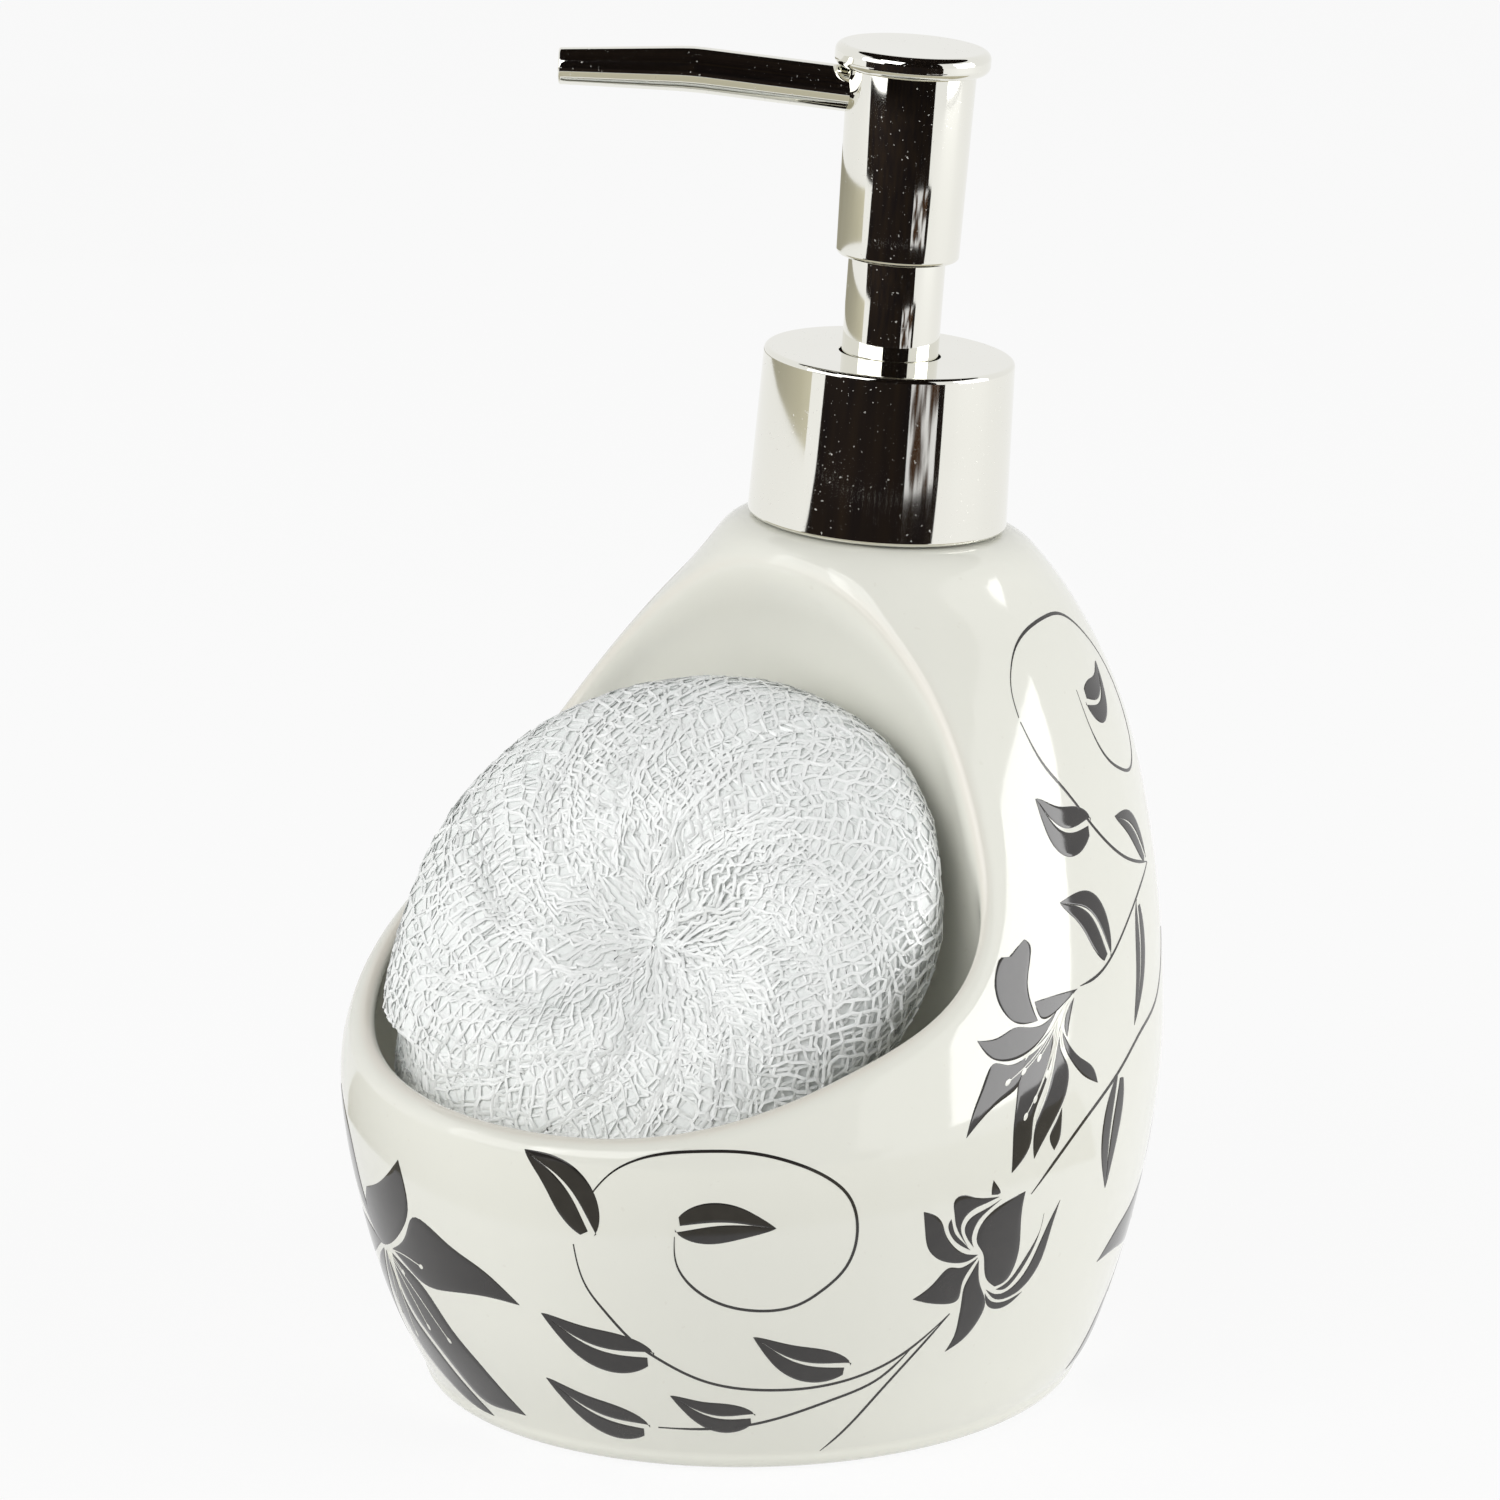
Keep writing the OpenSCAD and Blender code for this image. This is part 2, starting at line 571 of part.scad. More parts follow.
// Closure that screws on the insert, and the bright collar pressed over it
closure_r = collar_r - collar_taper - collar_skin;
closure_bore = insert_r + free_gap;
closure_plate_t = 1.6;
collar_edge = 0.6;
sleeve_hole = sleeve_r + free_gap;
module screw_closure() {
  low = body_h + insert_flange + collar_gap;
  high = collar_top - collar_skin;
  color("whitesmoke") turned([
    [closure_bore, low], [closure_r, low], [closure_r, high], [closure_bore, high],
    [closure_bore, cylinder_top + closure_plate_t], [sleeve_hole, cylinder_top + closure_plate_t],
    [sleeve_hole, cylinder_top], [closure_bore, cylinder_top]
  ]);
}
module collar_cover() {
  top_r = collar_r - collar_taper;
  low_r = collar_r - collar_skin;
  color("gainsboro") translate([0, pump_back, 0]) rotate_extrude() difference() {
    union() {
      polygon([
        [0, collar_bottom], [collar_r, collar_bottom], [top_r, collar_top - collar_edge],
        [top_r - collar_edge, collar_top], [0, collar_top]
      ]);
      translate([top_r - collar_edge, collar_top - collar_edge]) circle(r = collar_edge);
    }
    polygon([
      [0, collar_bottom - over], [low_r, collar_bottom - over], [low_r, collar_bottom],
      [closure_r, collar_top - collar_skin], [0, collar_top - collar_skin]
    ]);
    translate([0, collar_top - collar_skin - over]) square([sleeve_hole, collar_skin + 2 * over]);
  }
}

// Bright sleeve that slides into the collar with the head
sleeve_dip = 1.2;
sleeve_socket = 6;
module stem_sleeve() {
  low = collar_top - sleeve_dip;
  color("gainsboro") translate([0, pump_back, low]) difference() {
    cylinder(r = sleeve_r, h = head_bottom + sleeve_socket - low);
    translate([0, 0, -over]) cylinder(r = sleeve_bore, h = head_bottom + sleeve_socket - low + 2 * over);
  }
}

// Head: plastic core on the stem, bright shell, cap and spout
head_wall = 1.2;
head_bore = head_r - head_taper - head_wall;
core_skirt = 3;
cross_r = spout_r - spout_wall;
spout_z = head_top - spout_below;
spout_root = 3.4;
plug_h = 0.25;
// Children that point up end up pointing along the spout from the pump axis
module toward_spout() {
  translate([0, pump_back, spout_z]) rotate([0, 0, spout_turn]) rotate([0, -90, 0]) children();
}
// Hole that the spout's root is pressed into
module spout_socket() {
  toward_spout() translate([0, 0, spout_root]) rotate([0, spout_climb, 0]) cylinder(r = spout_r, h = head_r);
}
module head_core() {
  socket_r = sleeve_bore;
  low = head_bottom - core_skirt;
  color("white") difference() {
    turned([
      [0, low], [socket_r, low], [socket_r, head_bottom + sleeve_socket],
      [head_bore, head_bottom + sleeve_socket], [head_bore, head_top - plug_h], [0, head_top - plug_h]
    ]);
    translate([0, pump_back, low - over]) cylinder(r = stem_r, h = stem_top - low + over);
    translate([0, pump_back, stem_top - over]) cylinder(r = stem_bore, h = spout_z - stem_top + over);
    toward_spout() cylinder(r = cross_r, h = head_r);
    spout_socket();
  }
}
module head_shell() {
  low_r = head_r - head_taper;
  color("gainsboro") difference() {
    translate([0, pump_back, head_bottom]) difference() {
      cylinder(r1 = low_r, r2 = head_r, h = head_l);
      translate([0, 0, -over]) cylinder(r = sleeve_r, h = sleeve_socket + 2 * over);
      translate([0, 0, sleeve_socket]) cylinder(r = head_bore, h = head_l);
    }
    spout_socket();
  }
}
cap_edge = 1.1;
module head_cap() {
  color("gainsboro") translate([0, pump_back, head_top]) rotate_extrude() {
    square([cap_r - cap_edge, cap_t]);
    translate([0, cap_edge]) square([cap_r, cap_t - 2 * cap_edge]);
    for (z = [cap_edge, cap_t - cap_edge]) translate([cap_r - cap_edge, z]) circle(r = cap_edge);
  }
}
// Solid of the spout's outline, grown by g, from its root past the bend to its tip
module spout_form(g, extra) {
  run = spout_bend - spout_root;
  toward_spout() translate([0, 0, spout_root]) rotate([0, spout_climb, 0]) {
    translate([0, 0, -extra]) cylinder(r = spout_r + g, h = run + extra);
    translate([0, 0, run]) sphere(r = spout_r + g);
    translate([0, 0, run]) rotate([0, -spout_climb - spout_drop, 0])
      cylinder(r1 = spout_r + g, r2 = spout_tip_r + g, h = spout_reach - spout_bend + extra);
  }
}
module spout() {
  color("gainsboro") difference() {
    spout_form(0, 0);
    spout_form(-spout_wall, over);
  }
}

// Net scrubber: a crowned pad drawn in at its middle, leaning on the backrest
scrub_power = 8 / 3;
// Reach of the pad's rounded outline when its two half sizes lie at angle a
function scrub_support(p, q) = let (e = scrub_power / (scrub_power - 1)) (p ^ e + q ^ e) ^ (1 / e);
scrub_half_l = scrub_l / 2;
scrub_half_t = scrub_t / 2;
scrub_z = cradle_floor + scrub_gap
  + scrub_support(scrub_half_l * cos(scrub_lean), scrub_half_t * sin(scrub_lean));
// Half width that passes between the cradle's sides at the pad's height
scrub_half_w = let (w = half_at(scrub_z), k = scrub_middle_share)
  w * sqrt((1 - wall_t / w) ^ 2 - k ^ 2) - scrub_side_gap;
// Directions across the pad, up it and out of its face
scrub_across = [cos(scrub_turn), sin(scrub_turn), 0];
scrub_up = [-sin(scrub_turn) * sin(scrub_lean), cos(scrub_turn) * sin(scrub_lean), cos(scrub_lean)];
scrub_out = [sin(scrub_turn) * cos(scrub_lean), -cos(scrub_turn) * cos(scrub_lean), sin(scrub_lean)];
scrub_touch = [scrub_side + scrub_half_w * scrub_across.x / 2, 0, scrub_z + scrub_half_l / 2];
scrub_y = backrest_at(scrub_touch) - scrub_gap - scrub_support(
  norm([scrub_half_w * scrub_across.y, scrub_half_l * scrub_up.y]), scrub_half_t * abs(scrub_out.y)
);
scrub_round = 64;
scrub_steps = 20;
gathers = 16;
module net_scrubber() {
  place = function(e, a) let (
    r = cos(e) ^ (2 / scrub_power),
    crown = sign(sin(e)) * abs(sin(e)) ^ (2 / scrub_power),
    x = scrub_half_w * r * cos(a),
    y = scrub_half_l * r * sin(a),
    gather = scrub_gather * (1 - cos(gathers * a)) * r * (1 - r),
    dent = scrub_dimple * exp(-(norm([x, y]) / scrub_dimple_r) ^ 2) + gather
  )
    [scrub_side, scrub_y, scrub_z] + x * scrub_across + y * scrub_up
    + (scrub_half_t * crown - sign(crown) * dent) * scrub_out;
  rings = [for (k = [1:scrub_steps - 1]) let (e = 180 * k / scrub_steps - 90)
    [for (i = [0:scrub_round - 1]) place(e, 360 * i / scrub_round)]];
  color("aliceblue") skin(rings, place(-90, 0), place(90, 0));
}

ceramic_base();
ceramic_body();
ceramic_shoulder();
neck_insert();
insert_seal();
neck_gasket();
pump_cylinder();
stem_guide();
dip_tube();
valve_ball();
return_spring();
piston();
piston_rod();
piston_stem();
screw_closure();
collar_cover();
stem_sleeve();
head_core();
head_shell();
head_cap();
spout();
net_scrubber();
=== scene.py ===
import bpy
import numpy as np
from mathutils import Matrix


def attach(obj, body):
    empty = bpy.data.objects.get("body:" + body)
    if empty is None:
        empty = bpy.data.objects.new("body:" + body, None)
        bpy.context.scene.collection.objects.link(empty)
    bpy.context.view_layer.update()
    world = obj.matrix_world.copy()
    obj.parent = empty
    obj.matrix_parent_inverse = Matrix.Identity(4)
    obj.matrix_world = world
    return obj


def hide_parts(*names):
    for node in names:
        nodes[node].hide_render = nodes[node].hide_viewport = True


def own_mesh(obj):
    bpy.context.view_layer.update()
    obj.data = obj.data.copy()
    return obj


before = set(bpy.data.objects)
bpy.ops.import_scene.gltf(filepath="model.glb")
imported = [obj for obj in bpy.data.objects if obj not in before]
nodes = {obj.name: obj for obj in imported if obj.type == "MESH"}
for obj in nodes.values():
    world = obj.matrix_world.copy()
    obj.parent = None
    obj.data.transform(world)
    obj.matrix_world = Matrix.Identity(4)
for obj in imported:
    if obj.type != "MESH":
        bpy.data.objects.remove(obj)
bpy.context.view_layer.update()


# ------------------------------------------------------------
# Ceramic body. One slip-cast shell, glazed white all over: an egg-shaped outside, an open cradle
# in front and a soap tank behind and under it. The mould's slip is poured out through the neck,
# which leaves walls of even thickness, and the dipped glaze rounds every edge.
MM = 0.001
BODY_W, BODY_D, BODY_H, WALL = 99.0, 116.0, 112.0, 4.0
HALF_W, HALF_D = BODY_W / 2, BODY_D / 2
PUMP_Y = 12.0
FOOT_ROUND, FOOT_BAND, FOOT_RISE = 2.5, 6.0, 1.5
CRADLE_FLOOR, CRADLE_CORNER, BACKREST_GAP, BACKREST_BOW, BOW_SHARE = 27.0, 12.0, 13.0, 5.5, 0.65
RIM_T, RIDGE_T, RIM_ROLL, RIDGE_ROLL, LAND_ROUND = 2.4, 0.8, 2.2, 7.0, 2.6
NECK_R, NECK_DEPTH, NECK_STEPS = 13.4, 9.0, 144
SHARP_EDGE = 38
GLAZE, GLAZE_CLOUD, GLAZE_THIN, GLAZE_SPECK = (234, 234, 225), (230, 230, 220), (228, 219, 206), (196, 188, 172)
# Distance from the rim's line at which the thin glaze starts to fade, over what width, and its share of colour
THIN_FROM, THIN_OVER, THIN_SHARE = 0.4, 1.3, 0.5

# Heights, half widths and reaches to the front and the back, as shares of the body's sizes
HEIGHTS = np.array([0, 0.04, 0.10, 0.20, 0.30, 0.41, 0.52, 0.63, 0.73, 0.82, 0.89, 0.95, 1, 1.04, 1.07])
WIDTHS = np.array(
    [0.745, 0.81, 0.865, 0.933, 0.98, 1, 0.955, 0.865, 0.758, 0.652, 0.549, 0.45, 0.368, 0.22, 0.02]
)
FRONTS = np.array(
    [0.83, 0.875, 0.945, 1.025, 1.08, 1.088, 0.975, 0.795, 0.60, 0.425, 0.295, 0.193, 0.108, 0, -0.18]
)
BACKS = np.array(
    [0.83, 0.85, 0.88, 0.905, 0.915, 0.915, 0.905, 0.89, 0.86, 0.80, 0.725, 0.635, 0.521, 0.40, 0.22]
)
# The rim seen from the side, and how far the backrest leans forward at each height
SCOOP = np.array(
    [[-1.20, 0.400], [-1.00, 0.417], [-0.80, 0.452], [-0.60, 0.497], [-0.44, 0.536], [-0.30, 0.584],
     [-0.19, 0.657], [-0.13, 0.755], [-0.105, 0.860], [-0.125, 0.945], [-0.19, 1]]
)
LEAN = np.array([[0, 0], [0.55, 0], [0.70, 0.015], [0.80, 0.036], [0.88, 0.064], [0.94, 0.098], [0.98, 0.132],
                 [1.03, 0.18]])
FLARE = np.array([[0, 1], [0.58, 1], [0.66, 0.6], [0.76, -0.6], [0.84, -1], [1.1, -1]])
TANK_ANGLES = np.array([[0, -1], [0.12, -0.33], [0.22, -0.11], [0.5, 0.16], [0.75, 0.5], [1, 1]])
OUTER_EYE = np.array([0, 0, 0.44 * BODY_H])
CRADLE_EYE = np.array([0, -0.48 * HALF_D, 0.43 * BODY_H])
TANK_EYE = np.array([0, 0.20 * HALF_D, 0.14 * BODY_H])
DOWN = np.array([0.0, 0.0, -1.0])


def curve_through(x, y):
    """Curve y(q) of cubic pieces through the points (x, y), with slope and bend alike where two pieces meet:
    h1 m1 + 2 (h1 + h2) m2 + h2 m3 = 6 (dy2 / h2 - dy1 / h1), and no bend at its ends."""
    x, y = np.asarray(x, float), np.asarray(y, float)
    h, n = np.diff(x), len(x)
    rise = np.diff(y) / h
    left = np.eye(n)
    inner = np.arange(1, n - 1)
    left[inner, inner - 1], left[inner, inner], left[inner, inner + 1] = h[:-1], 2 * (h[:-1] + h[1:]), h[1:]
    bend = np.linalg.solve(left, np.concatenate([[0], 6 * np.diff(rise), [0]]))

    def at(q):
        q = np.clip(q, x[0], x[-1])
        i = np.clip(np.searchsorted(x, q, side="right") - 1, 0, n - 2)
        a, b = x[i + 1] - q, q - x[i]
        return (
            (bend[i] * a**3 + bend[i + 1] * b**3) / (6 * h[i])
            + (y[i] / h[i] - bend[i] * h[i] / 6) * a
            + (y[i + 1] / h[i] - bend[i + 1] * h[i] / 6) * b
        )

    return at


half_at = curve_through(HEIGHTS * BODY_H, WIDTHS * HALF_W)
front_at = curve_through(HEIGHTS * BODY_H, -FRONTS * HALF_D)
back_at = curve_through(HEIGHTS * BODY_H, BACKS * HALF_D)
lean_at = curve_through(LEAN[:, 0] * BODY_H, LEAN[:, 1] * HALF_D)
flare_at = curve_through(FLARE[:, 0] * BODY_H, FLARE[:, 1])
scoop_y = curve_through(np.arange(len(SCOOP)), SCOOP[:, 0] * HALF_D)
scoop_z = curve_through(np.arange(len(SCOOP)), SCOOP[:, 1] * BODY_H)


def mid_at(z):
    return (front_at(z) + back_at(z)) / 2


def depth_at(z):
    return (back_at(z) - front_at(z)) / 2


def mix(a, b, f):
    return a + (b - a) * f


def ease(f):
    """3 f^2 - 2 f^3 between 0 and 1, and level outside them."""
    f = np.clip(f, 0, 1)
    return f * f * (3 - 2 * f)


def larger(a, b, r):
    """max(a, b), rounded over r where the two are alike: max + (r - |a - b|)^2 / 4r."""
    return np.maximum(a, b) + np.maximum(r - np.abs(a - b), 0) ** 2 / (4 * r)


def outside(p, inset):
    """Distance of p outside the oval of half axes (w, d) round (0, mid), moved in by inset:
    (|(x / w, (y - mid) / d)| - (w - inset) / w) w."""
    w = half_at(p[..., 2])
    k = np.maximum(w - inset, 1) / w
    return (np.hypot(p[..., 0] / w, (p[..., 1] - mid_at(p[..., 2])) / depth_at(p[..., 2])) - k) * w


def backrest_at(p):
    """Y of the backrest: its leaning middle, less a bow that grows with x^2."""
    return PUMP_Y - BACKREST_GAP - lean_at(p[..., 2]) - BACKREST_BOW * (p[..., 0] / (BOW_SHARE * HALF_W)) ** 2


def body_field(p):
    return np.maximum(outside(p, 0), p[..., 2] - HEIGHTS[-1] * BODY_H)


def cradle_field(p):
    side = outside(p, WALL * flare_at(p[..., 2]))
    return larger(larger(side, p[..., 1] - backrest_at(p), CRADLE_CORNER), CRADLE_FLOOR - p[..., 2], CRADLE_CORNER)


def tank_field(p):
    wall = larger(outside(p, WALL), WALL - cradle_field(p), WALL)
    return larger(larger(wall, FOOT_RISE + WALL - p[..., 2], WALL), p[..., 2] - BODY_H + NECK_DEPTH, WALL)


def reach(field, eye, d):
    """Distance along each direction d from eye to where the field turns positive, by halving."""
    low, high = np.zeros(d.shape[:-1]), np.full(d.shape[:-1], BODY_D + BODY_H)
    for _ in range(30):
        middle = (low + high) / 2
        beyond = field(eye + middle[..., None] * d) > 0
        low, high = np.where(beyond, low, middle), np.where(beyond, middle, high)
    return (low + high) / 2


def unit(v):
    """v made of length 1."""
    return v / np.linalg.norm(v, axis=-1, keepdims=True)


def circle_angles(n):
    """n angles, evenly spaced round a circle."""
    return 2 * np.pi * np.arange(n) / n


def run_along(points):
    """Distance of each point along the line through them all."""
    return np.concatenate([[0], np.cumsum(np.linalg.norm(np.diff(points, axis=0), axis=1))])


def swing(a, b, f):
    """Direction a share f of the way round from a to b: (sin((1-f) w) a + sin(f w) b) / sin w."""
    a, b = unit(a), unit(b)
    w = np.arccos(np.clip((a * b).sum(-1, keepdims=True), -1, 1))
    return (np.sin((1 - f) * w) * a + np.sin(f * w) * b) / np.sin(w)


def rim_line(inset, u):
    """Points u along the rim from the front over the right side: the scoop's curve, carried out to the oval."""
    inset, crossings = inset + 0 * u, []
    for first, last, end in ((0.0, 5.0, inset[0]), (10.0, 5.0, inset[-1])):
        for _ in range(40):
            s = (first + last) / 2
            p = np.array([0, scoop_y(s), scoop_z(s)])
            first, last = (s, last) if outside(p, end) > 0 else (first, s)
        crossings.append((first + last) / 2)
    s = mix(crossings[0], crossings[1], (1 - np.cos(np.pi * u)) / 2)
    y, z = scoop_y(s), scoop_z(s)
    w, k = half_at(z), (y - mid_at(z)) / depth_at(z)
    return np.stack([w * np.sqrt(np.maximum((1 - inset / w) ** 2 - k**2, 0)), y, z], -1)


def lip_at(u):
    """Thickness of the wall at the rim, from its front up to where the ridge meets the neck."""
    return mix(RIM_T, RIDGE_T, ease(2 * u - 0.6))


def whole(half):
    """A ring from its right half, which the left half mirrors."""
    left = half[..., -2:0:-1, :] * [-1, 1, 1]
    return np.concatenate([half, left], axis=-2)


def placed(name, data):
    """An object of this data, in the scene."""
    made = bpy.data.objects.new(name, data)
    bpy.context.scene.collection.objects.link(made)
    return made


def add_piece(name, points, faces, body, finish=None, sharp=None):
    """A mesh object of these points in mm, smooth but for edges sharper than the angle, riding on a CAD body."""
    mesh = bpy.data.meshes.new(name)
    mesh.from_pydata((np.asarray(points) * MM).tolist(), [], [list(f) for f in faces])
    mesh.validate()
    mesh.shade_smooth()
    if sharp is not None:
        mesh.set_sharp_from_angle(angle=np.radians(sharp))
    piece = placed(name, mesh)
    if finish is not None:
        mesh.materials.append(finish)
    if body is not None:
        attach(piece, body)
    return piece


def skin(rings, first, last):
    """Points and faces of a closed skin over a stack of rings (m, n, 3), each end drawn in to one point."""
    m, n = rings.shape[:2]
    points = np.concatenate([[first], rings.reshape(-1, 3), [last]])
    at = 1 + np.arange(m * n).reshape(m, n)
    turn = np.roll(at, -1, axis=1)
    quads = np.stack([at[:-1], turn[:-1], turn[1:], at[1:]], -1).reshape(-1, 4)
    start = np.stack([np.zeros(n, int), turn[0], at[0]], -1)
    end = np.stack([np.full(n, m * n + 1), at[-1], turn[-1]], -1)
    return points, start.tolist() + quads.tolist() + end.tolist()


def body_rings(round_half, outer_steps, lip_steps, cradle_steps):
    """Rings of the body from under its foot, up its outside, over the rim and down the cradle."""
    u = np.arange(round_half + 1) / round_half
    rim, inner = rim_line(0, u), rim_line(lip_at(u), u)
    angle = np.pi * u - np.pi / 2
    foot = np.stack(
        [half_at(FOOT_ROUND) * np.cos(angle), mid_at(FOOT_ROUND) + depth_at(FOOT_ROUND) * np.sin(angle),
         np.full_like(u, FOOT_ROUND)], -1
    )
    roll = mix(RIM_ROLL, RIDGE_ROLL, ease(3 * u - 1))

    def share(a, b):
        between = (a * b).sum(-1) / np.linalg.norm(a, axis=-1) / np.linalg.norm(b, axis=-1)
        return roll / (np.linalg.norm(a, axis=-1) * np.arccos(between))

    f = mix(share(rim - OUTER_EYE, foot - OUTER_EYE), 1, np.arange(outer_steps, -1, -1)[:, None] / outer_steps)
    d = swing(rim - OUTER_EYE, foot - OUTER_EYE, f[..., None])
    outer = OUTER_EYE + d * reach(body_field, OUTER_EYE, d)[..., None]
    a = inner - CRADLE_EYE
    gap = np.linalg.norm(a, axis=-1) - reach(cradle_field, CRADLE_EYE, unit(a))
    f = mix(share(a, np.broadcast_to(DOWN, a.shape)), 1, np.arange(cradle_steps)[:, None] / cradle_steps)
    d = swing(a, DOWN, f[..., None])
    cradle = CRADLE_EYE + d * (reach(cradle_field, CRADLE_EYE, d) + gap * (1 - f) ** 3)[..., None]
    t = (np.arange(1, lip_steps) / lip_steps)[:, None, None]
    lip = (1 - t) ** 3 * outer[-1] + 3 * (1 - t) ** 2 * t * rim + 3 * (1 - t) * t**2 * inner + t**3 * cradle[0]
    edge = np.radians(np.arange(0, 90, 9))
    profile = [(FOOT_ROUND + FOOT_BAND + FOOT_RISE, FOOT_RISE), (FOOT_ROUND + FOOT_BAND + 0.4, 0.1),
               (FOOT_ROUND + FOOT_BAND, 0)]
    profile += [(FOOT_ROUND * (1 - np.sin(e)), FOOT_ROUND * (1 - np.cos(e))) for e in edge]
    centre = np.array([0, mid_at(FOOT_ROUND), 0])
    inset, z = np.array(profile).T[:, :, None, None]
    under = centre + (foot - centre) * (1 - inset / half_at(FOOT_ROUND)) * [1, 1, 0] + z * [0, 0, 1]
    rings = whole(np.concatenate([under, outer, lip, cradle]))
    z = rings[..., 2]
    rings[..., 2] = np.minimum(z, BODY_H) - np.maximum(LAND_ROUND - np.abs(z - BODY_H), 0) ** 2 / (4 * LAND_ROUND)
    return rings


def tank_rings(round_, steps):
    """Rings of the tank's wall round its eye, from its floor to under the land."""
    angle = np.radians(90 * np.interp(np.arange(1, steps) / steps, TANK_ANGLES[:, 0], TANK_ANGLES[:, 1]))[:, None]
    around = circle_angles(round_)
    level, up = np.cos(angle), np.sin(angle)
    d = np.stack(np.broadcast_arrays(level * np.cos(around), level * np.sin(around), up), -1)
    return TANK_EYE + d * reach(tank_field, TANK_EYE, d)[..., None]


def cut_away(piece, cutters):
    """Leaves of the piece what lies outside the cutters, which are then removed."""
    for cutter in cutters:
        cut = piece.modifiers.new("cut", "BOOLEAN")
        cut.object, cut.operation, cut.solver = cutter, "DIFFERENCE", "EXACT"
    left = bpy.data.meshes.new_from_object(piece.evaluated_get(bpy.context.evaluated_depsgraph_get()))
    piece.modifiers.clear()
    piece.data = left
    for cutter in cutters:
        bpy.data.objects.remove(cutter)


class Value:
    """A number that a finish works out over its surface. Sums and products of it add Math nodes."""

    def __init__(self, finish, socket):
        self.finish, self.socket = finish, socket

    def _math(self, kind, *parts):
        return self.finish.node("ShaderNodeMath", {"operation": kind}, dict(enumerate(parts)))

    def __add__(self, other):
        return self._math("ADD", self, other)

    def __rsub__(self, other):
        return self._math("SUBTRACT", other, self)

    def __mul__(self, other):
        return self._math("MULTIPLY", self, other)

    __radd__, __rmul__ = __add__, __mul__


def colour(*rgb):
    """A picture's red, green and blue, 0 to 255, as the light that Blender counts in: ((c + 0.055) / 1.055)^2.4."""
    c = np.array(rgb) / 255
    return (*np.where(c < 0.04045, c / 12.92, ((c + 0.055) / 1.055) ** 2.4).tolist(), 1.0)


class Finish:
    """A material: the shader's constants by socket name, and what varies over the surface fed in by feed()."""

    def __init__(self, name, **constants):
        self.material = bpy.data.materials.new(name)
        self.material.use_nodes = True
        self.tree = self.material.node_tree
        self.shader = self.tree.nodes["Principled BSDF"]
        for socket, value in constants.items():
            self.shader.inputs[socket.replace("_", " ")].default_value = value

    def node(self, kind, settings, values, out=0):
        """Adds one node: its settings, and then the values or links of its sockets."""
        made = self.tree.nodes.new(kind)
        for key, value in settings.items():
            setattr(made, key, value)
        for key, value in values.items():
            if isinstance(value, Value):
                self.tree.links.new(value.socket, made.inputs[key])
            else:
                made.inputs[key].default_value = value
        return Value(self, made.outputs[out])

    def place(self):
        return self.node("ShaderNodeTexCoord", {}, {}, "Object")

    def stretched(self, x, y, z):
        """The place on the object, with each axis scaled."""
        return self.node("ShaderNodeMapping", {}, {"Vector": self.place(), "Scale": (x, y, z)})

    def noise(self, scale, detail, vector=None):
        values = {"Vector": vector or self.place(), "Scale": scale, "Detail": detail}
        return self.node("ShaderNodeTexNoise", {}, values)

    def step(self, value, low, high):
        """0 below low, 1 above high and smooth between."""
        values = {"Value": value, "From Min": low, "From Max": high}
        return self.node("ShaderNodeMapRange", {"interpolation_type": "SMOOTHSTEP"}, values)

    def tint(self, share, first, second):
        """One colour turning into another."""
        return self.node("ShaderNodeMix", {"data_type": "RGBA"}, {0: share, 6: first, 7: second}, 2)

    def bump(self, height, depth, strength=1.0):
        """Height in shares of depth, which is in metres, as a bent normal."""
        values = {"Height": height, "Distance": depth, "Strength": strength}
        self.feed("Normal", self.node("ShaderNodeBump", {}, values))

    def feed(self, socket, value):
        self.tree.links.new(value.socket, self.shader.inputs[socket])


def glaze():
    """White glaze: thinner and warmer on the rim, a faint cloud in its colour and a hair of orange peel."""
    g = Finish("white_glaze", IOR=1.52, Specular_IOR_Level=0.5)
    cloud = g.noise(38, 3)
    speck = g.step(g.noise(900, 1), 0.74, 0.79)
    thin = g.node("ShaderNodeAttribute", {"attribute_name": "thin_glaze"}, {}, "Fac")
    white = g.tint(cloud, colour(*GLAZE), colour(*GLAZE_CLOUD))
    white = g.tint(thin * THIN_SHARE, white, colour(*GLAZE_THIN))
    g.feed("Base Color", g.tint(speck * 0.10, white, colour(*GLAZE_SPECK)))
    g.feed("Roughness", 0.055 + 0.03 * g.noise(120, 3))
    g.bump(g.noise(170, 2) + 0.25 * g.noise(700, 1), 0.00002, 0.6)
    return g.material


glaze_finish = glaze()
rings = body_rings(round_half=160, outer_steps=112, lip_steps=12, cradle_steps=72)
body_piece = add_piece("glazed_body", *skin(rings, [0, mid_at(FOOT_ROUND), FOOT_RISE], rings[-1].mean(0)), None)
poles = [TANK_EYE + way * reach(tank_field, TANK_EYE, way) for way in (DOWN, -DOWN)]
tank_cutter = add_piece("tank_hollow", *skin(tank_rings(round_=112, steps=64), *poles), None)
around = circle_angles(NECK_STEPS)
circle = np.stack([NECK_R * np.cos(around), PUMP_Y + NECK_R * np.sin(around), 0 * around], -1)
rings = np.array([circle + [0, 0, z] for z in (BODY_H - NECK_DEPTH - 1, BODY_H + 6)])
neck_cutter = add_piece("neck_hollow", *skin(rings, rings[0].mean(0), rings[1].mean(0)), None)
cut_away(body_piece, [tank_cutter, neck_cutter])
mesh = body_piece.data
mesh.shade_smooth()
mesh.set_sharp_from_angle(angle=np.radians(SHARP_EDGE))
mesh.materials.clear()
mesh.materials.append(glaze_finish)
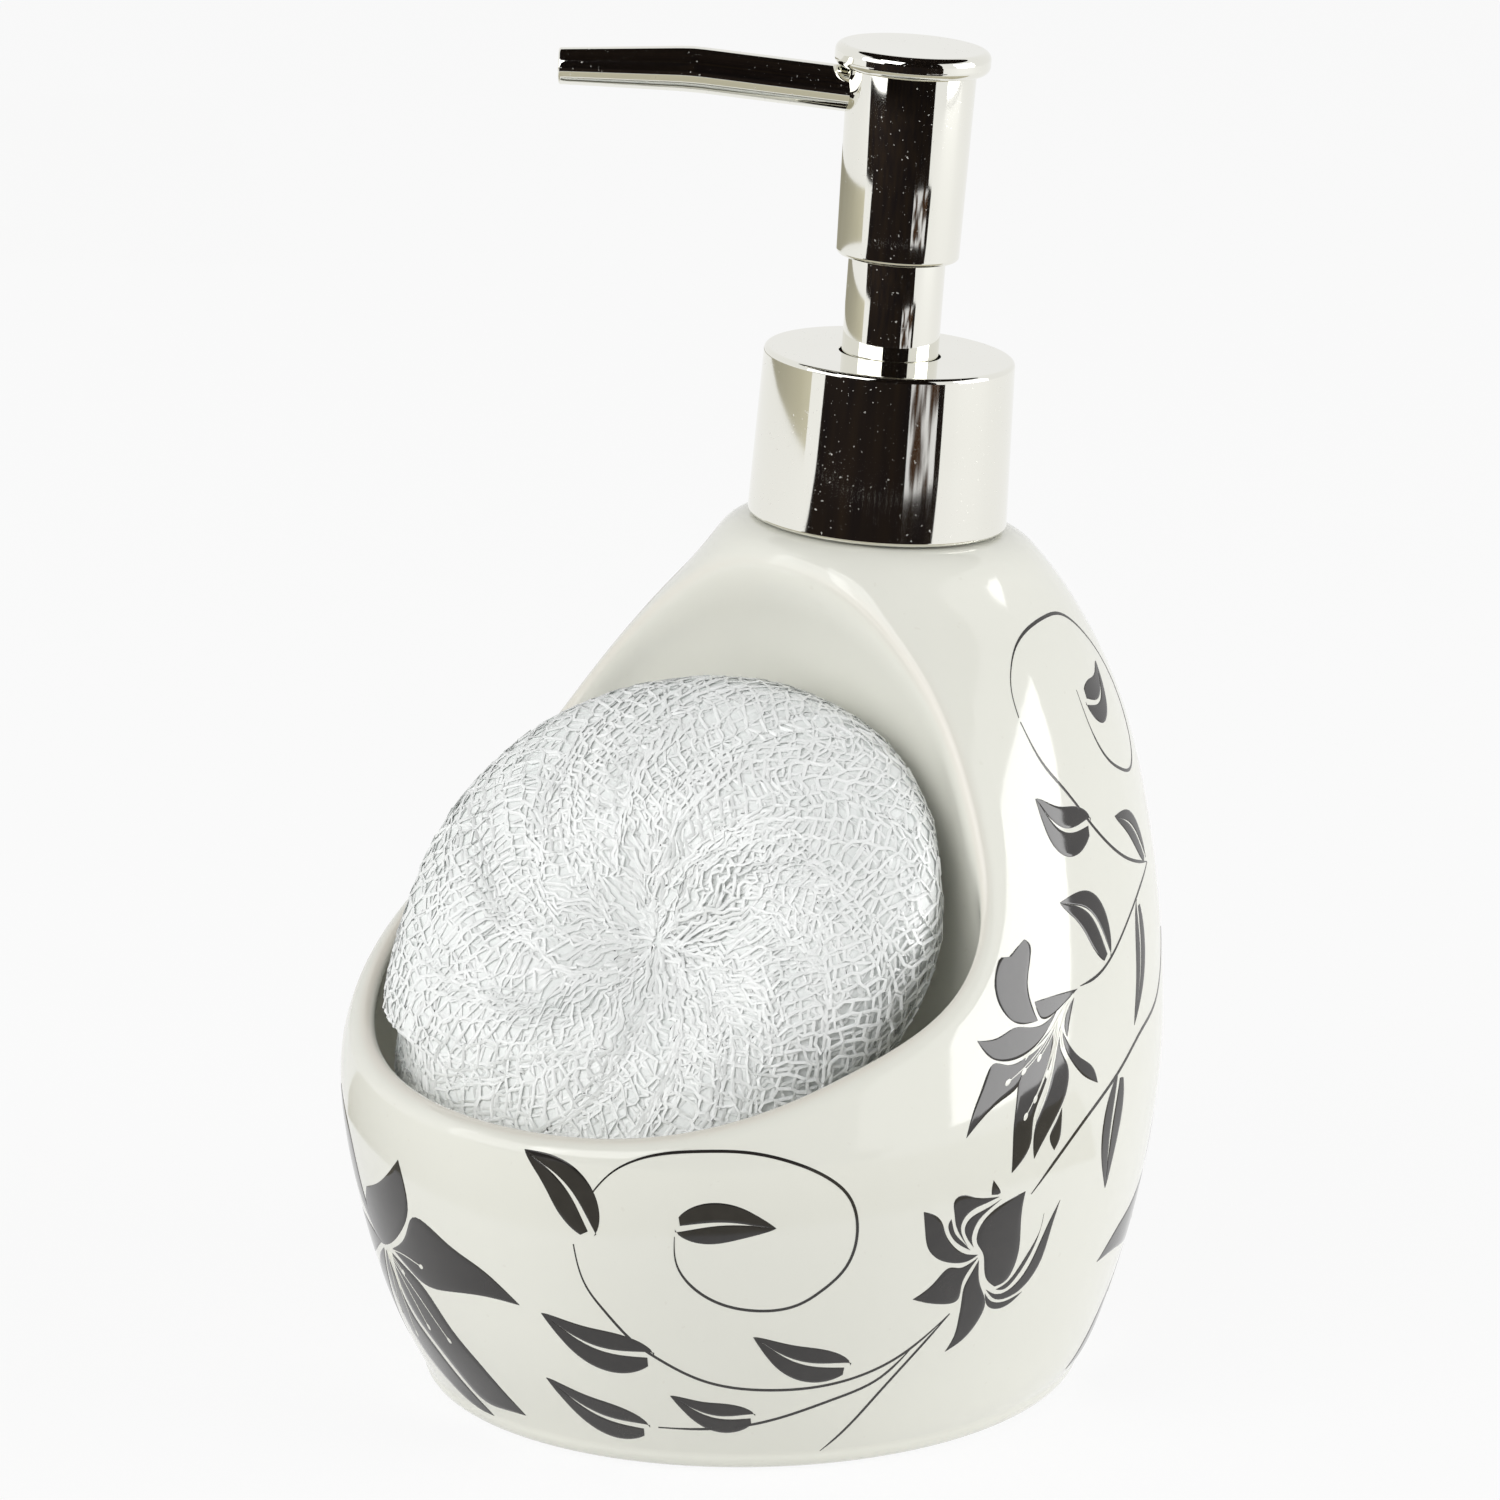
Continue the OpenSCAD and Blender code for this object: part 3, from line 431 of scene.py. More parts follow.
# Where the glaze runs thin: close to the rim's line, on the outside and in the cradle alike
co = np.empty(len(mesh.vertices) * 3)
mesh.vertices.foreach_get("co", co)
co = co.reshape(-1, 3) / MM
rim_u = np.linspace(0, 1, 400)
rim_middle = (rim_line(0, rim_u) + rim_line(lip_at(rim_u), rim_u)) / 2
away = np.abs(co) * [1, 0, 0] + co * [0, 1, 1]
near = np.full(len(co), 99.0)
for start in range(0, len(rim_middle), 40):
    part = np.linalg.norm(away[:, None] - rim_middle[None, start : start + 40], axis=-1).min(1)
    near = np.minimum(near, part)
thin = mesh.attributes.new("thin_glaze", "FLOAT", "POINT")
thin.data.foreach_set("value", (1 - ease((near - THIN_FROM) / THIN_OVER)).astype(np.float32))
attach(body_piece, "ceramic")
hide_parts("ceramic_base", "ceramic_body", "ceramic_shoulder")


# ------------------------------------------------------------
# Printed vine. A water-slide print of scrolling stems, slit leaves and open flowers, laid on the
# body by hand and fired under the glaze, so that it is as glossy as the white round it. Here each
# stroke is a film a few hundredths of a millimetre proud of the glaze.
PRINT_ROUND = 55.0
FILM, BARE_FILM, FILM_SUNK = 0.045, 0.075, 0.10
STAMEN_WIDE, ANTHER_WIDE, ANTHER_HALF = 0.07, 0.33, 0.5
# How far round the body the low lily and the front spray are carried to the back
LILY_BACK, SPRAY_BACK = 112, 146
# Places across a film from one edge to the other and back under it, and its height there as a share
ACROSS_FILM = np.array([0, 0.02, 0.15, 0.3, 0.5, 0.7, 0.85, 0.98, 1, 0.75, 0.5, 0.25])
FILM_HEIGHT = np.array([0, 0.8, 1, 1, 1, 1, 1, 0.8, 0, -1, -1, -1])


def on_body(s, z, lift):
    """A point of the print: s mm round from the front at a radius of 55, z mm up, lift mm off the glaze.
    P = (w sin t, mid - d cos t, z) with t = s / 55, moved along the surface's normal."""
    def surface(s, z):
        t = s / PRINT_ROUND
        return np.stack([half_at(z) * np.sin(t), mid_at(z) - depth_at(z) * np.cos(t), z + 0 * t], -1)

    along = surface(s + 0.05, z) - surface(s - 0.05, z)
    up = surface(s, z + 0.05) - surface(s, z - 0.05)
    return surface(s, z) + unit(np.cross(along, up)) * np.asarray(lift)[..., None]


def through(points, n):
    """n points, evenly spaced, on a smooth curve through the given ones, which just stops short of its ends."""
    points = np.array(points, float)
    run = run_along(points)
    q = run[-1] * np.linspace(0.004, 0.996, n)
    return np.stack([curve_through(run, points[:, 0])(q), curve_through(run, points[:, 1])(q)], 1)


def between(start, end, first, second, n=30):
    """A shape of the print between two edges through the first and the second points, from one start to one end."""
    return through([start, *first, end], n), through([start, *second, end], n)


def along(line, left, right):
    """A shape of the print left and right wide on the two sides of a line."""
    d = np.gradient(line, axis=0)
    side = np.stack([-d[:, 1], d[:, 0]], 1) / (np.linalg.norm(d, axis=1, keepdims=True) + 1e-9)
    return line + side * left[:, None], line - side * right[:, None]


def stem(points, thick=0.40, start=0.5, n=60):
    """A vine's stroke, thinner at its start and running out at its end."""
    f = np.linspace(0, 1, n)
    wide = thick / 2 * mix(start, 1, ease(f * 5)) * np.minimum(1, (1 - f) * 8 + 0.25)
    return [along(through(points, n), wide, wide)]


def leaf(base, tip, width, curl, slit=0.76, n=36):
    """A leaf from its base to its tip: a curved line with width sin(pi f^0.72)^0.85 on each side, parted from
    the base up by a slit of bare glaze that tapers away. One lobe joins the stem and the other hangs free."""
    base, tip = np.array(base, float), np.array(tip, float)
    f = np.linspace(0, 1, n)
    way = tip - base
    line = base + f[:, None] * way + (curl * np.sin(np.pi * f) ** 1.2)[:, None] * np.array([-way[1], way[0]])
    wide = width * np.maximum(np.sin(np.pi * f**0.72), 0) ** 0.85 + 0.01
    gap = 0.15 * width * np.maximum(1 - f / slit, 0) ** 0.8
    free = slice(2, n)
    return [along(line, -gap, wide), tuple(edge[free] for edge in along(line, wide + gap, -gap))]


def laid(shapes, film):
    """Skins of the print's shapes, each a film whose edges lie in the glaze, facing outward."""
    made = []
    for a, b in shapes:
        ring = np.concatenate([a, b[::-1]])
        if (ring[:, 0] * np.roll(ring[:, 1], -1) - np.roll(ring[:, 0], -1) * ring[:, 1]).sum() > 0:
            a, b = b, a
        flat = a[:, None] + (b - a)[:, None] * ACROSS_FILM[:, None]
        height = np.where(FILM_HEIGHT < 0, FILM_SUNK * FILM_HEIGHT, film * FILM_HEIGHT - 0.01)
        points = on_body(flat[..., 0], flat[..., 1], height)
        made.append(skin(points, points[0].mean(0), points[-1].mean(0)))
    return made


def moved(shapes, by, way=1):
    """Shapes carried round the body, or mirrored with way = -1 first."""
    return [(a * [way, 1] + [by, 0], b * [way, 1] + [by, 0]) for a, b in shapes]


def stamens(eye, ends):
    """Bare lines from a flower's eye, each with an oval anther at its end."""
    shapes = []
    for end in ends:
        eye_, end = np.array(eye, float), np.array(end, float)
        f = np.linspace(0, 1, 14)
        way = end - eye_
        line = eye_ + f[:, None] * way + (0.06 * np.sin(np.pi * f))[:, None] * np.array([-way[1], way[0]])
        shapes.append(along(line, *np.full((2, 14), STAMEN_WIDE)))
        oval = end + np.linspace(-ANTHER_HALF, ANTHER_HALF, 12)[:, None] * unit(way)
        wide = ANTHER_WIDE * np.sqrt(1 - np.linspace(-0.98, 0.98, 12) ** 2)
        shapes.append(along(oval, wide, wide))
    return shapes


def bare(line, thick=0.3, n=24):
    """A line of bare glaze that parts two petals."""
    wide = thick / 2 * np.minimum(1, (1 - np.linspace(0, 1, n)) * 5 + 0.3)
    return [along(through(line, n), wide, wide)]


def gather(parts):
    """Several skins as one: their points end to end and their faces counted on."""
    points, faces, count = [], [], 0
    for p, f in parts:
        points.append(p)
        faces += [[i + count for i in face] for face in f]
        count += len(p)
    return np.concatenate(points), faces


# The spray across the front: one wide curl, six leaves and three stems that run off to the right
front_spray = (
    stem([(20.2, 38.6), (23.5, 43), (28.4, 45.6), (34.7, 46.6), (40.4, 46.7), (46.3, 45.6), (51.2, 43.6), (54.5, 40.9),
          (56.1, 36.4), (54.9, 30.9), (52.1, 28), (49.2, 26.1), (43.2, 25.2), (36.1, 27.3), (32.7, 31.2),
          (32.3, 35.6)], n=150)
    + leaf((32.3, 36.3), (45.4, 36.9), 2.7, 0.06)
    + leaf((21.4, 34.2), (10.8, 44), 2.9, -0.12)
    + stem([(18.4, 32.9), (20, 26.8), (22.4, 23.7), (27, 19.2), (29.6, 17.6), (36, 14.6), (45.6, 13.2), (54.1, 13.6),
            (65, 17.2), (71.5, 22.4)], n=110)
    + leaf((29.3, 17.9), (12.5, 21.8), 2.9, 0.10)
    + leaf((57.3, 16.4), (43.1, 21.3), 2.5, 0.10)
    + leaf((27.2, 6.4), (11.4, 12), 2.7, 0.10)
    + leaf((43.6, 9.1), (31.2, 11.9), 2.3, 0.12)
    + stem([(28.4, 6.6), (35.5, 6.8), (44.3, 8), (55.7, 11.4), (62, 13.9), (66.5, 18.2)], n=70)
    + stem([(71.5, 22.4), (65, 14.8), (54.4, 2.6)], n=60)
)

# The half-open flower on the right: a heart-shaped petal, three behind it, three below and three thin crescents
cup_flower = [
    between((78.4, 25), (81.2, 38.1), [(76.6, 26.5), (75.8, 28.7), (75.3, 30.4), (73.9, 32.4), (74.1, 34.5),
            (75.6, 36.2), (78, 37.3)], [(80.3, 25.4), (81.5, 27.4), (81.8, 29.8), (81.4, 32.9), (81.1, 35.8)]),
    between((73.6, 31.6), (77.1, 37.8), [(72.2, 33.3), (71.7, 34.7), (72.2, 35.8), (73.8, 36.6), (75.6, 37.2)],
            [(73.1, 32.8), (73.2, 34.1), (73.8, 35.4), (75.3, 36.7)]),
    between((72.6, 31.9), (76.7, 38.2), [(71.3, 33.5), (70.2, 35.4), (69.7, 37.2), (69.6, 39), (70.3, 39.4),
            (72.4, 38.9), (74.6, 38.4)], [(71.5, 33.6), (71.1, 34.8), (71.4, 36.0), (72.3, 36.9), (74.4, 37.6)]),
    between((75.3, 38.7), (75.3, 40.7), [(75.2, 39.8)], [(76.8, 38.7), (76.1, 39.8)], 12),
    between((73.1, 31.3), (69.4, 36.3), [(70.8, 32.7), (69.4, 34.4), (69.1, 35.7)], [(71.6, 32.8), (70.2, 34.3),
            (69.7, 35.5)]),
    between((74.5, 30.4), (65.1, 37.9), [(72.2, 31), (70.1, 32.6), (68.7, 34.6), (68.2, 35.8), (66.9, 37.2)],
            [(73.2, 29.8), (70.4, 29.9), (68, 30.9), (66.4, 32.6), (65.7, 34.9)]),
    between((74.6, 30), (65.1, 25.4), [(73.2, 29.3), (71.8, 29), (70.2, 29.3), (68.1, 27.5)], [(73.3, 28.2),
            (72.6, 26.4), (72.4, 24.2), (69.6, 24), (67.2, 24.6)]),
    between((74.8, 29.6), (72, 16.4), [(73.7, 27.6), (73, 25.9), (73, 23.9), (73.1, 21.1), (73, 18.7)],
            [(75.8, 25.7), (77.4, 22.4), (76.9, 20.5), (74.9, 17.9)]),
    between((78.7, 24.5), (85.5, 34.1), [(80.5, 25.1), (82.5, 27.2), (84.1, 29.5), (85.3, 31.8)], [(80.3, 24.2),
            (82.2, 25.5), (83.9, 27.9), (85.1, 30.7)]),
    between((76.9, 24.9), (88.5, 35.3), [(79.3, 23.7), (81.4, 24.0), (83.7, 25.9), (85.4, 29.2), (86.9, 32.6)],
            [(79, 23.0), (81.9, 22.8), (84.7, 24.1), (86.7, 26.9), (87.5, 30.6)]),
    between((76.9, 24.3), (84.1, 23), [(78.3, 22.9), (80.7, 22.3)], [(77.7, 22.4), (79.6, 21.4), (81.6, 21.5)]),
]

# The lily above it, hanging from its stem: nine petals, the lines that part them and six stamens
side_lily = [
    between((80, 59.4), (76.3, 69), [(76.5, 59.5), (73.5, 61.2), (71.7, 63.7), (71.5, 65.8), (72.3, 67.4),
            (73, 67.2), (74.2, 67.7)], [(78.6, 61.5), (77.6, 63.8), (77.7, 66.2), (77.6, 68.2)]),
    between((87.9, 61.9), (79.1, 61.7), [(82.7, 61.9)], [(84.6, 60.4), (80.6, 59.6)]),
    between((83.6, 60), (69.6, 58.4), [(81, 58.9), (77.8, 59), (75.9, 59.2), (73.1, 58.4)], [(80.6, 56.9),
            (78, 55.7), (75, 55.4), (72.3, 56.1)]),
    between((78.3, 55.4), (70, 46.9), [(75.1, 55), (72.7, 55.4), (71.5, 53.1), (70.6, 50.4)], [(77.6, 52.3),
            (74.7, 50.7), (71.9, 48.8)]),
    between((83.1, 58.3), (78.2, 41.1), [(79.6, 56.1), (77.7, 54.3), (77.4, 51.3), (77.5, 47.1), (77.9, 43.7)],
            [(83.2, 54.5), (82.4, 51.5), (80.9, 47.6), (80.9, 44.3), (79.8, 42.5)]),
    between((84.5, 58.1), (81.9, 42.3), [(83.9, 55.8), (83.6, 53.4), (82.8, 50.5), (81.5, 47.3), (81.3, 44.9)],
            [(84.8, 55.6), (86.7, 53.1), (86.9, 50.1), (85.3, 47.2), (83.2, 44.3)]),
    between((86.2, 48.1), (85.6, 42.7), [(85.1, 46.2), (84.4, 45)], [(86.5, 45.9), (86.4, 43.9)], 14),
    between((84.9, 57.6), (93.8, 49.6), [(85.8, 55.4), (87.9, 53), (90.4, 51.1)], [(86.8, 55.5), (89.7, 53.4),
            (92.6, 51.6)]),
    between((87.2, 61), (86.1, 56.6), [(85.8, 59.7), (85.4, 57.9)], [(86.6, 59), (86.3, 57.6)], 14),
]
side_lily_bare = (
    bare([(87, 61.4), (84.6, 59.8), (83.2, 58.3), (80.3, 56.3), (78, 55.4)], 0.34)
    + bare([(86.2, 60.6), (84.9, 58.5), (84, 55.8), (83.6, 53.4), (82.8, 50.5), (81.4, 47.3)], 0.3)
    + bare([(87, 61.2), (85.2, 59.2), (84.9, 57.2), (85.4, 55.4)], 0.3)
    + stamens((84, 59.3), [(80.8, 55), (78.2, 53.8), (75.6, 52.9), (82.6, 52.8), (80.8, 50.1), (79.4, 48.2)])
)

# What joins them up the right side: the lily's stem, the long stem past it, leaves, and the curl at the top
side_vine = (
    stem([(75.6, 93.0), (79.9, 88.4), (85.5, 84.7), (93.4, 79.4), (103, 74.6), (114.3, 72)], n=60)
    + stem([(75.6, 93.0), (74.6, 96.6), (76.6, 99.4), (80.6, 101.4), (88, 102.8), (96.2, 103.3), (106, 102.7),
            (114.6, 99.5), (120.5, 93.5), (119.5, 87), (114.2, 83.6), (107, 84.3), (100.6, 87), (97, 91.4),
            (96.1, 95.2)], n=120)
    + leaf((98.5, 93.2), (112.5, 96.5), 2.5, -0.14)
    + leaf((92.6, 80.2), (78.1, 84.2), 2.7, 0.14)
    + leaf((113.5, 72.6), (101, 79.6), 1.8, -0.1)
    + stem([(114.3, 72), (107, 69.5), (100, 66), (93, 62.7), (88.4, 62.1)], n=40)
    + leaf((96.3, 64.2), (83.6, 72.2), 2.5, -0.14)
    + leaf((106.5, 69), (104, 54.4), 2.0, 0.1)
    + stem([(124, 62), (114.4, 55.1), (106, 52.9), (100.3, 50.2), (92.1, 45.8), (86.4, 41.4), (82.2, 37.3)],
           0.55, n=60)
    + leaf((99.6, 49.8), (99.8, 33.9), 2.5, -0.06)
)

# The large lily at the left of the front wall
low_lily = [
    between((-25.6, 29.6), (-12.7, 37.1), [(-18.4, 32.7)], [(-28.2, 25.3), (-26.3, 22.6), (-21.2, 22.8),
            (-14.7, 26.6), (-11.5, 30.8), (-11.7, 34.3)]),
    between((-19.3, 22.9), (9.1, 22.2), [(-13.3, 26.8), (-11, 29.6), (-2.9, 28), (3.3, 25.9)], [(-15.9, 21.7),
            (-11.5, 20.3), (-5, 20.8), (3.3, 22.1)]),
    between((-19.9, 22.1), (4.5, 4.5), [(-15.9, 21.3), (-11.4, 19.7), (-6.4, 15), (-2.1, 11.3), (1.2, 7.8)],
            [(-20.2, 18.7), (-18.3, 14.7), (-13.8, 11.3), (-9.2, 7.2), (-6.2, 4.8), (-0.4, 4.3)]),
    between((-22.6, 21.8), (-3.9, 2.3), [(-21.2, 18.3), (-19, 14.3), (-14.6, 10.8), (-10, 6.7)], [(-25.6, 14.5),
            (-22.5, 8.6), (-16.6, 5), (-9.5, 2.7)]),
    between((-23.4, 21.8), (-34.5, 4), [(-27, 15), (-31, 8.5)], [(-30.5, 17.5), (-34.5, 11)]),
    between((-24, 22.4), (-47.5, 20.4), [(-32, 18.6), (-41, 17.4)], [(-32, 23.8), (-40, 22.6)]),
    between((-26, 23.4), (-38, 39.8), [(-33, 26.5), (-37.6, 31)], [(-28.6, 28.5), (-31, 35)]),
]
low_lily_bare = stamens(
    (-22, 22), [(-10.8, 22.8), (-17.2, 20.2), (-13.6, 13.4), (-8.2, 12.9), (-20.6, 10.4), (-25, 12.4)]
)


def ink():
    """Under-glaze ink: not quite black, with a faint cloud of lighter ink, and as glossy as the glaze."""
    k = Finish("print_ink", IOR=1.52)
    k.feed("Base Color", k.tint(k.noise(420, 3), colour(34, 32, 31), colour(50, 47, 45)))
    k.feed("Roughness", 0.055 + 0.03 * k.noise(120, 3))
    k.bump(k.noise(170, 2), 0.00002, 0.6)
    return k.material


right_side = cup_flower + side_lily + side_vine
inked = front_spray + right_side + low_lily
inked += moved(right_side, 0, -1) + moved(low_lily, LILY_BACK, -1) + moved(front_spray, SPRAY_BACK)
uncovered = side_lily_bare + low_lily_bare + moved(side_lily_bare, 0, -1) + moved(low_lily_bare, LILY_BACK, -1)
vine = add_piece("printed_vine", *gather(laid(inked, FILM)), "ceramic", ink(), 60)
bare_lines = add_piece("vine_bare_lines", *gather(laid(uncovered, BARE_FILM)), "ceramic", glaze_finish, 60)


# ------------------------------------------------------------
# Bright pump parts. The collar's skin, the sleeve, the head's shell and cap and the spout are
# moulded or drawn thin and plated: a slightly warm mirror with small rounded edges, fine dust and
# a few hair scratches.
CHROME, CHROME_CLOUD = (238, 237, 230), (232, 231, 222)
ROUND_STEPS = 160
COLLAR_R, COLLAR_TAPER, COLLAR_LOW, COLLAR_H, COLLAR_SKIN, COLLAR_EDGE = 16.8, 0.6, 112.3, 21.8, 1.0, 0.6
COLLAR_TOP = COLLAR_LOW + COLLAR_H
SLEEVE_R, SLEEVE_WALL, SLEEVE_DIP, SLEEVE_SOCKET, STROKE, SLEEVE_LEFT = 6.25, 1.0, 1.2, 6.0, 11.0, 1.6
HEAD_R, HEAD_TAPER, HEAD_L, HEAD_WALL = 8.3, 0.4, 24.3, 1.2
CAP_R, CAP_T, CAP_EDGE = 10.0, 3.0, 1.1
HEAD_LOW = COLLAR_TOP + STROKE + SLEEVE_LEFT
HEAD_TOP = HEAD_LOW + HEAD_L


def outline(corners, steps=7):
    """A closed section of (radius, height, rounding) corners, each rounded by an arc that touches both its sides,
    with a row close to each end of the arc that keeps the sides' shading straight."""
    corners = [np.array(c, float) for c in corners]
    points = []
    for i, corner in enumerate(corners):
        here, r = corner[:2], corner[2]
        before, after = corners[i - 1][:2] - here, corners[(i + 1) % len(corners)][:2] - here
        if r <= 0:
            points.append(here)
            continue
        a, b = unit(before), unit(after)
        half = np.arccos(np.clip(a @ b, -1, 1)) / 2
        centre = here + unit(a + b) * r / np.sin(half)
        first, last = here + a * r / np.tan(half) - centre, here + b * r / np.tan(half) - centre
        start, end = np.arctan2(first[1], first[0]), np.arctan2(last[1], last[0])
        end = start + (end - start + np.pi) % (2 * np.pi) - np.pi
        t = np.linspace(start, end, steps)
        arc = centre + r * np.stack([np.cos(t), np.sin(t)], 1)
        points += [arc[0] + a * 0.08, *arc, arc[-1] + b * 0.08] if r > 0.12 else list(arc)
    return np.array(points)


def loop(rings):
    """Points and faces of a ring of rings, closed both ways."""
    m, n = rings.shape[:2]
    at = np.arange(m * n).reshape(m, n)
    up, turn = np.roll(at, -1, axis=0), np.roll(at, -1, axis=1)
    return rings.reshape(-1, 3), np.stack([at, turn, np.roll(up, -1, axis=1), up], -1).reshape(-1, 4)


def turned(section):
    """Rings of a section (r, z) turned round the pump's axis: (r cos a, y0 + r sin a, z)."""
    a = circle_angles(ROUND_STEPS)
    r, z = section[:, 0, None], section[:, 1, None]
    return np.stack(np.broadcast_arrays(r * np.cos(a), PUMP_Y + r * np.sin(a), z), -1)


def chrome():
    """Plating: a warm mirror with a faint ripple, dust that dulls it and hair scratches in its roughness."""
    c = Finish("plated_chrome", Metallic=1.0)
    dust = c.step(c.noise(2400, 2), 0.69, 0.73) * c.step(c.noise(130, 2), 0.40, 0.55)
    scratch = c.step(c.noise(60, 4, c.stretched(1, 1, 9)), 0.735, 0.75)
    c.feed("Base Color", c.tint(c.noise(45, 2), colour(*CHROME), colour(*CHROME_CLOUD)))
    c.feed("Roughness", 0.025 + 0.02 * c.noise(70, 3) + 0.22 * dust + 0.10 * scratch)
    c.feed("Metallic", 1.0 - 0.55 * dust)
    c.bump(c.noise(90, 1), 0.00001, 0.5)
    return c.material


chrome_finish = chrome()


def plated(name, section, body, node):
    """A turned and plated piece in a node's place."""
    piece = add_piece(name, *loop(turned(section)[::-1]), body, chrome_finish, 50)
    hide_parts(node)


low_r, top_r = COLLAR_R, COLLAR_R - COLLAR_TAPER
plated("collar_skin", outline([
    (SLEEVE_R + 0.3, COLLAR_TOP, 0.2), (SLEEVE_R + 0.3, COLLAR_TOP - COLLAR_SKIN, 0.05),
    (top_r - COLLAR_SKIN, COLLAR_TOP - COLLAR_SKIN, 0.4), (low_r - COLLAR_SKIN, COLLAR_LOW, 0.15),
    (low_r, COLLAR_LOW, 0.45), (top_r, COLLAR_TOP, COLLAR_EDGE),
]), "collar", "collar_cover")
plated("bright_sleeve", outline([
    (SLEEVE_R - SLEEVE_WALL, COLLAR_TOP - SLEEVE_DIP, 0.1), (SLEEVE_R, COLLAR_TOP - SLEEVE_DIP, 0.3),
    (SLEEVE_R, HEAD_LOW + SLEEVE_SOCKET, 0.1), (SLEEVE_R - SLEEVE_WALL, HEAD_LOW + SLEEVE_SOCKET, 0.1),
]), "head", "stem_sleeve")
head_bore = HEAD_R - HEAD_TAPER - HEAD_WALL
plated("head_shell_skin", outline([
    (SLEEVE_R, HEAD_LOW, 0.1), (HEAD_R - HEAD_TAPER, HEAD_LOW, 0.55), (HEAD_R, HEAD_TOP, 0.05),
    (head_bore, HEAD_TOP, 0.05), (head_bore, HEAD_LOW + SLEEVE_SOCKET, 0.05),
    (SLEEVE_R, HEAD_LOW + SLEEVE_SOCKET, 0.05),
]), "head", "head_shell")
top = HEAD_TOP + CAP_T
section = outline([(0.01, HEAD_TOP, 0), (CAP_R, HEAD_TOP, CAP_EDGE), (CAP_R, top, CAP_EDGE), (0.01, top, 0)], 12)
cap_rings = turned(section)
cap = add_piece("head_button", *skin(cap_rings, [0, PUMP_Y, HEAD_TOP], [0, PUMP_Y, top]), "head", chrome_finish, 50)
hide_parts("head_cap")


# ------------------------------------------------------------
# Spout. A bent tube pressed into the head's side, plated with it: it climbs a little, bends and
# runs out level and tapering to a blunt open tip.
SPOUT_R, SPOUT_TIP_R, SPOUT_WALL, SPOUT_ROOT, SPOUT_BEND, SPOUT_REACH = 2.95, 2.35, 0.9, 3.4, 28.0, 45.0
SPOUT_CLIMB, SPOUT_DROP, SPOUT_TURN, SPOUT_BELOW, BEND_LENGTH = 3.0, 3.0, 38.0, 3.4, 5.0
TIP_ROUND, STRAIGHT_ROWS = 0.3, 70


def swept(line, radii, steps=72):
    """Rings of each radius round a line (n, 3) in one upright plane, each square to the line."""
    d = np.gradient(line, axis=0)
    d /= np.linalg.norm(d, axis=1, keepdims=True) + 1e-12
    level = np.array([-np.sin(np.radians(SPOUT_TURN)), np.cos(np.radians(SPOUT_TURN)), 0])
    upright = np.cross(level, d)
    a = circle_angles(steps)
    return line[:, None] + np.asarray(radii)[:, None, None] * (
        np.cos(a)[None, :, None] * level + np.sin(a)[None, :, None] * upright[:, None]
    )


def spout_line(s):
    """The spout's middle at distance s from its root: a straight climb that eases over to a straight fall."""
    run, fine = SPOUT_BEND - SPOUT_ROOT, np.linspace(-1, 60, 2441)
    turn = mix(SPOUT_CLIMB, -SPOUT_DROP, ease((fine - run + BEND_LENGTH / 2) / BEND_LENGTH))
    out = np.concatenate([[0], np.cumsum(np.cos(np.radians(turn[1:])) * np.diff(fine))])
    rise = np.concatenate([[0], np.cumsum(np.sin(np.radians(turn[1:])) * np.diff(fine))])
    out, rise = out - np.interp(0, fine, out), rise - np.interp(0, fine, rise)
    r, z = SPOUT_ROOT + np.interp(s, fine, out), HEAD_TOP - SPOUT_BELOW + np.interp(s, fine, rise)
    way = np.radians(SPOUT_TURN)
    return np.stack([-np.cos(way) * r, PUMP_Y - np.sin(way) * r, z], -1)


run, length = SPOUT_BEND - SPOUT_ROOT, SPOUT_REACH - SPOUT_ROOT
rounding = np.linspace(0, np.pi / 2, 8)[1:]
s_out = np.linspace(0, length - TIP_ROUND, STRAIGHT_ROWS)
s_out = np.concatenate([s_out, length - TIP_ROUND * (1 - np.sin(rounding))])
taper = mix(SPOUT_R, SPOUT_TIP_R, np.clip((s_out - run) / (length - run), 0, 1))
edge = TIP_ROUND * (1 - np.cos(np.concatenate([np.zeros(STRAIGHT_ROWS), rounding])))
s_in = s_out[::-1]
rings = np.concatenate([
    swept(spout_line(s_out), taper - edge), swept(spout_line(s_in), taper[::-1] - SPOUT_WALL + edge[::-1] * 0.6)
])
spout = add_piece("bent_spout", *loop(rings), "head", chrome_finish, 50)
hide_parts("spout")


# ------------------------------------------------------------
# Pump works. Injection-moulded white and natural polypropylene: closure, cylinder, guide, piston,
# stem and core, with a steel ball; the insert is cemented into the ceramic neck.
def plastic(name, first, second, rough, **more):
    """Moulded plastic: an almost even colour, a soft sheen and the fine grain of a spark-worn mould."""
    p = Finish(name, IOR=1.49, **more)
    p.feed("Base Color", p.tint(p.noise(90, 3), colour(*first), colour(*second)))
    p.feed("Roughness", rough + 0.1 * p.noise(400, 3))
    p.bump(p.noise(3000, 2), 0.00001, 0.5)
    return p.material


def steel():
    """Drawn steel: fine lines along the wire in its roughness."""
    w = Finish("spring_steel", Metallic=1.0)
    w.feed("Base Color", w.tint(w.noise(300, 3), colour(196, 196, 194), colour(170, 170, 170)))
    w.feed("Roughness", 0.18 + 0.2 * w.noise(900, 2, w.stretched(1, 1, 12)))
    return w.material


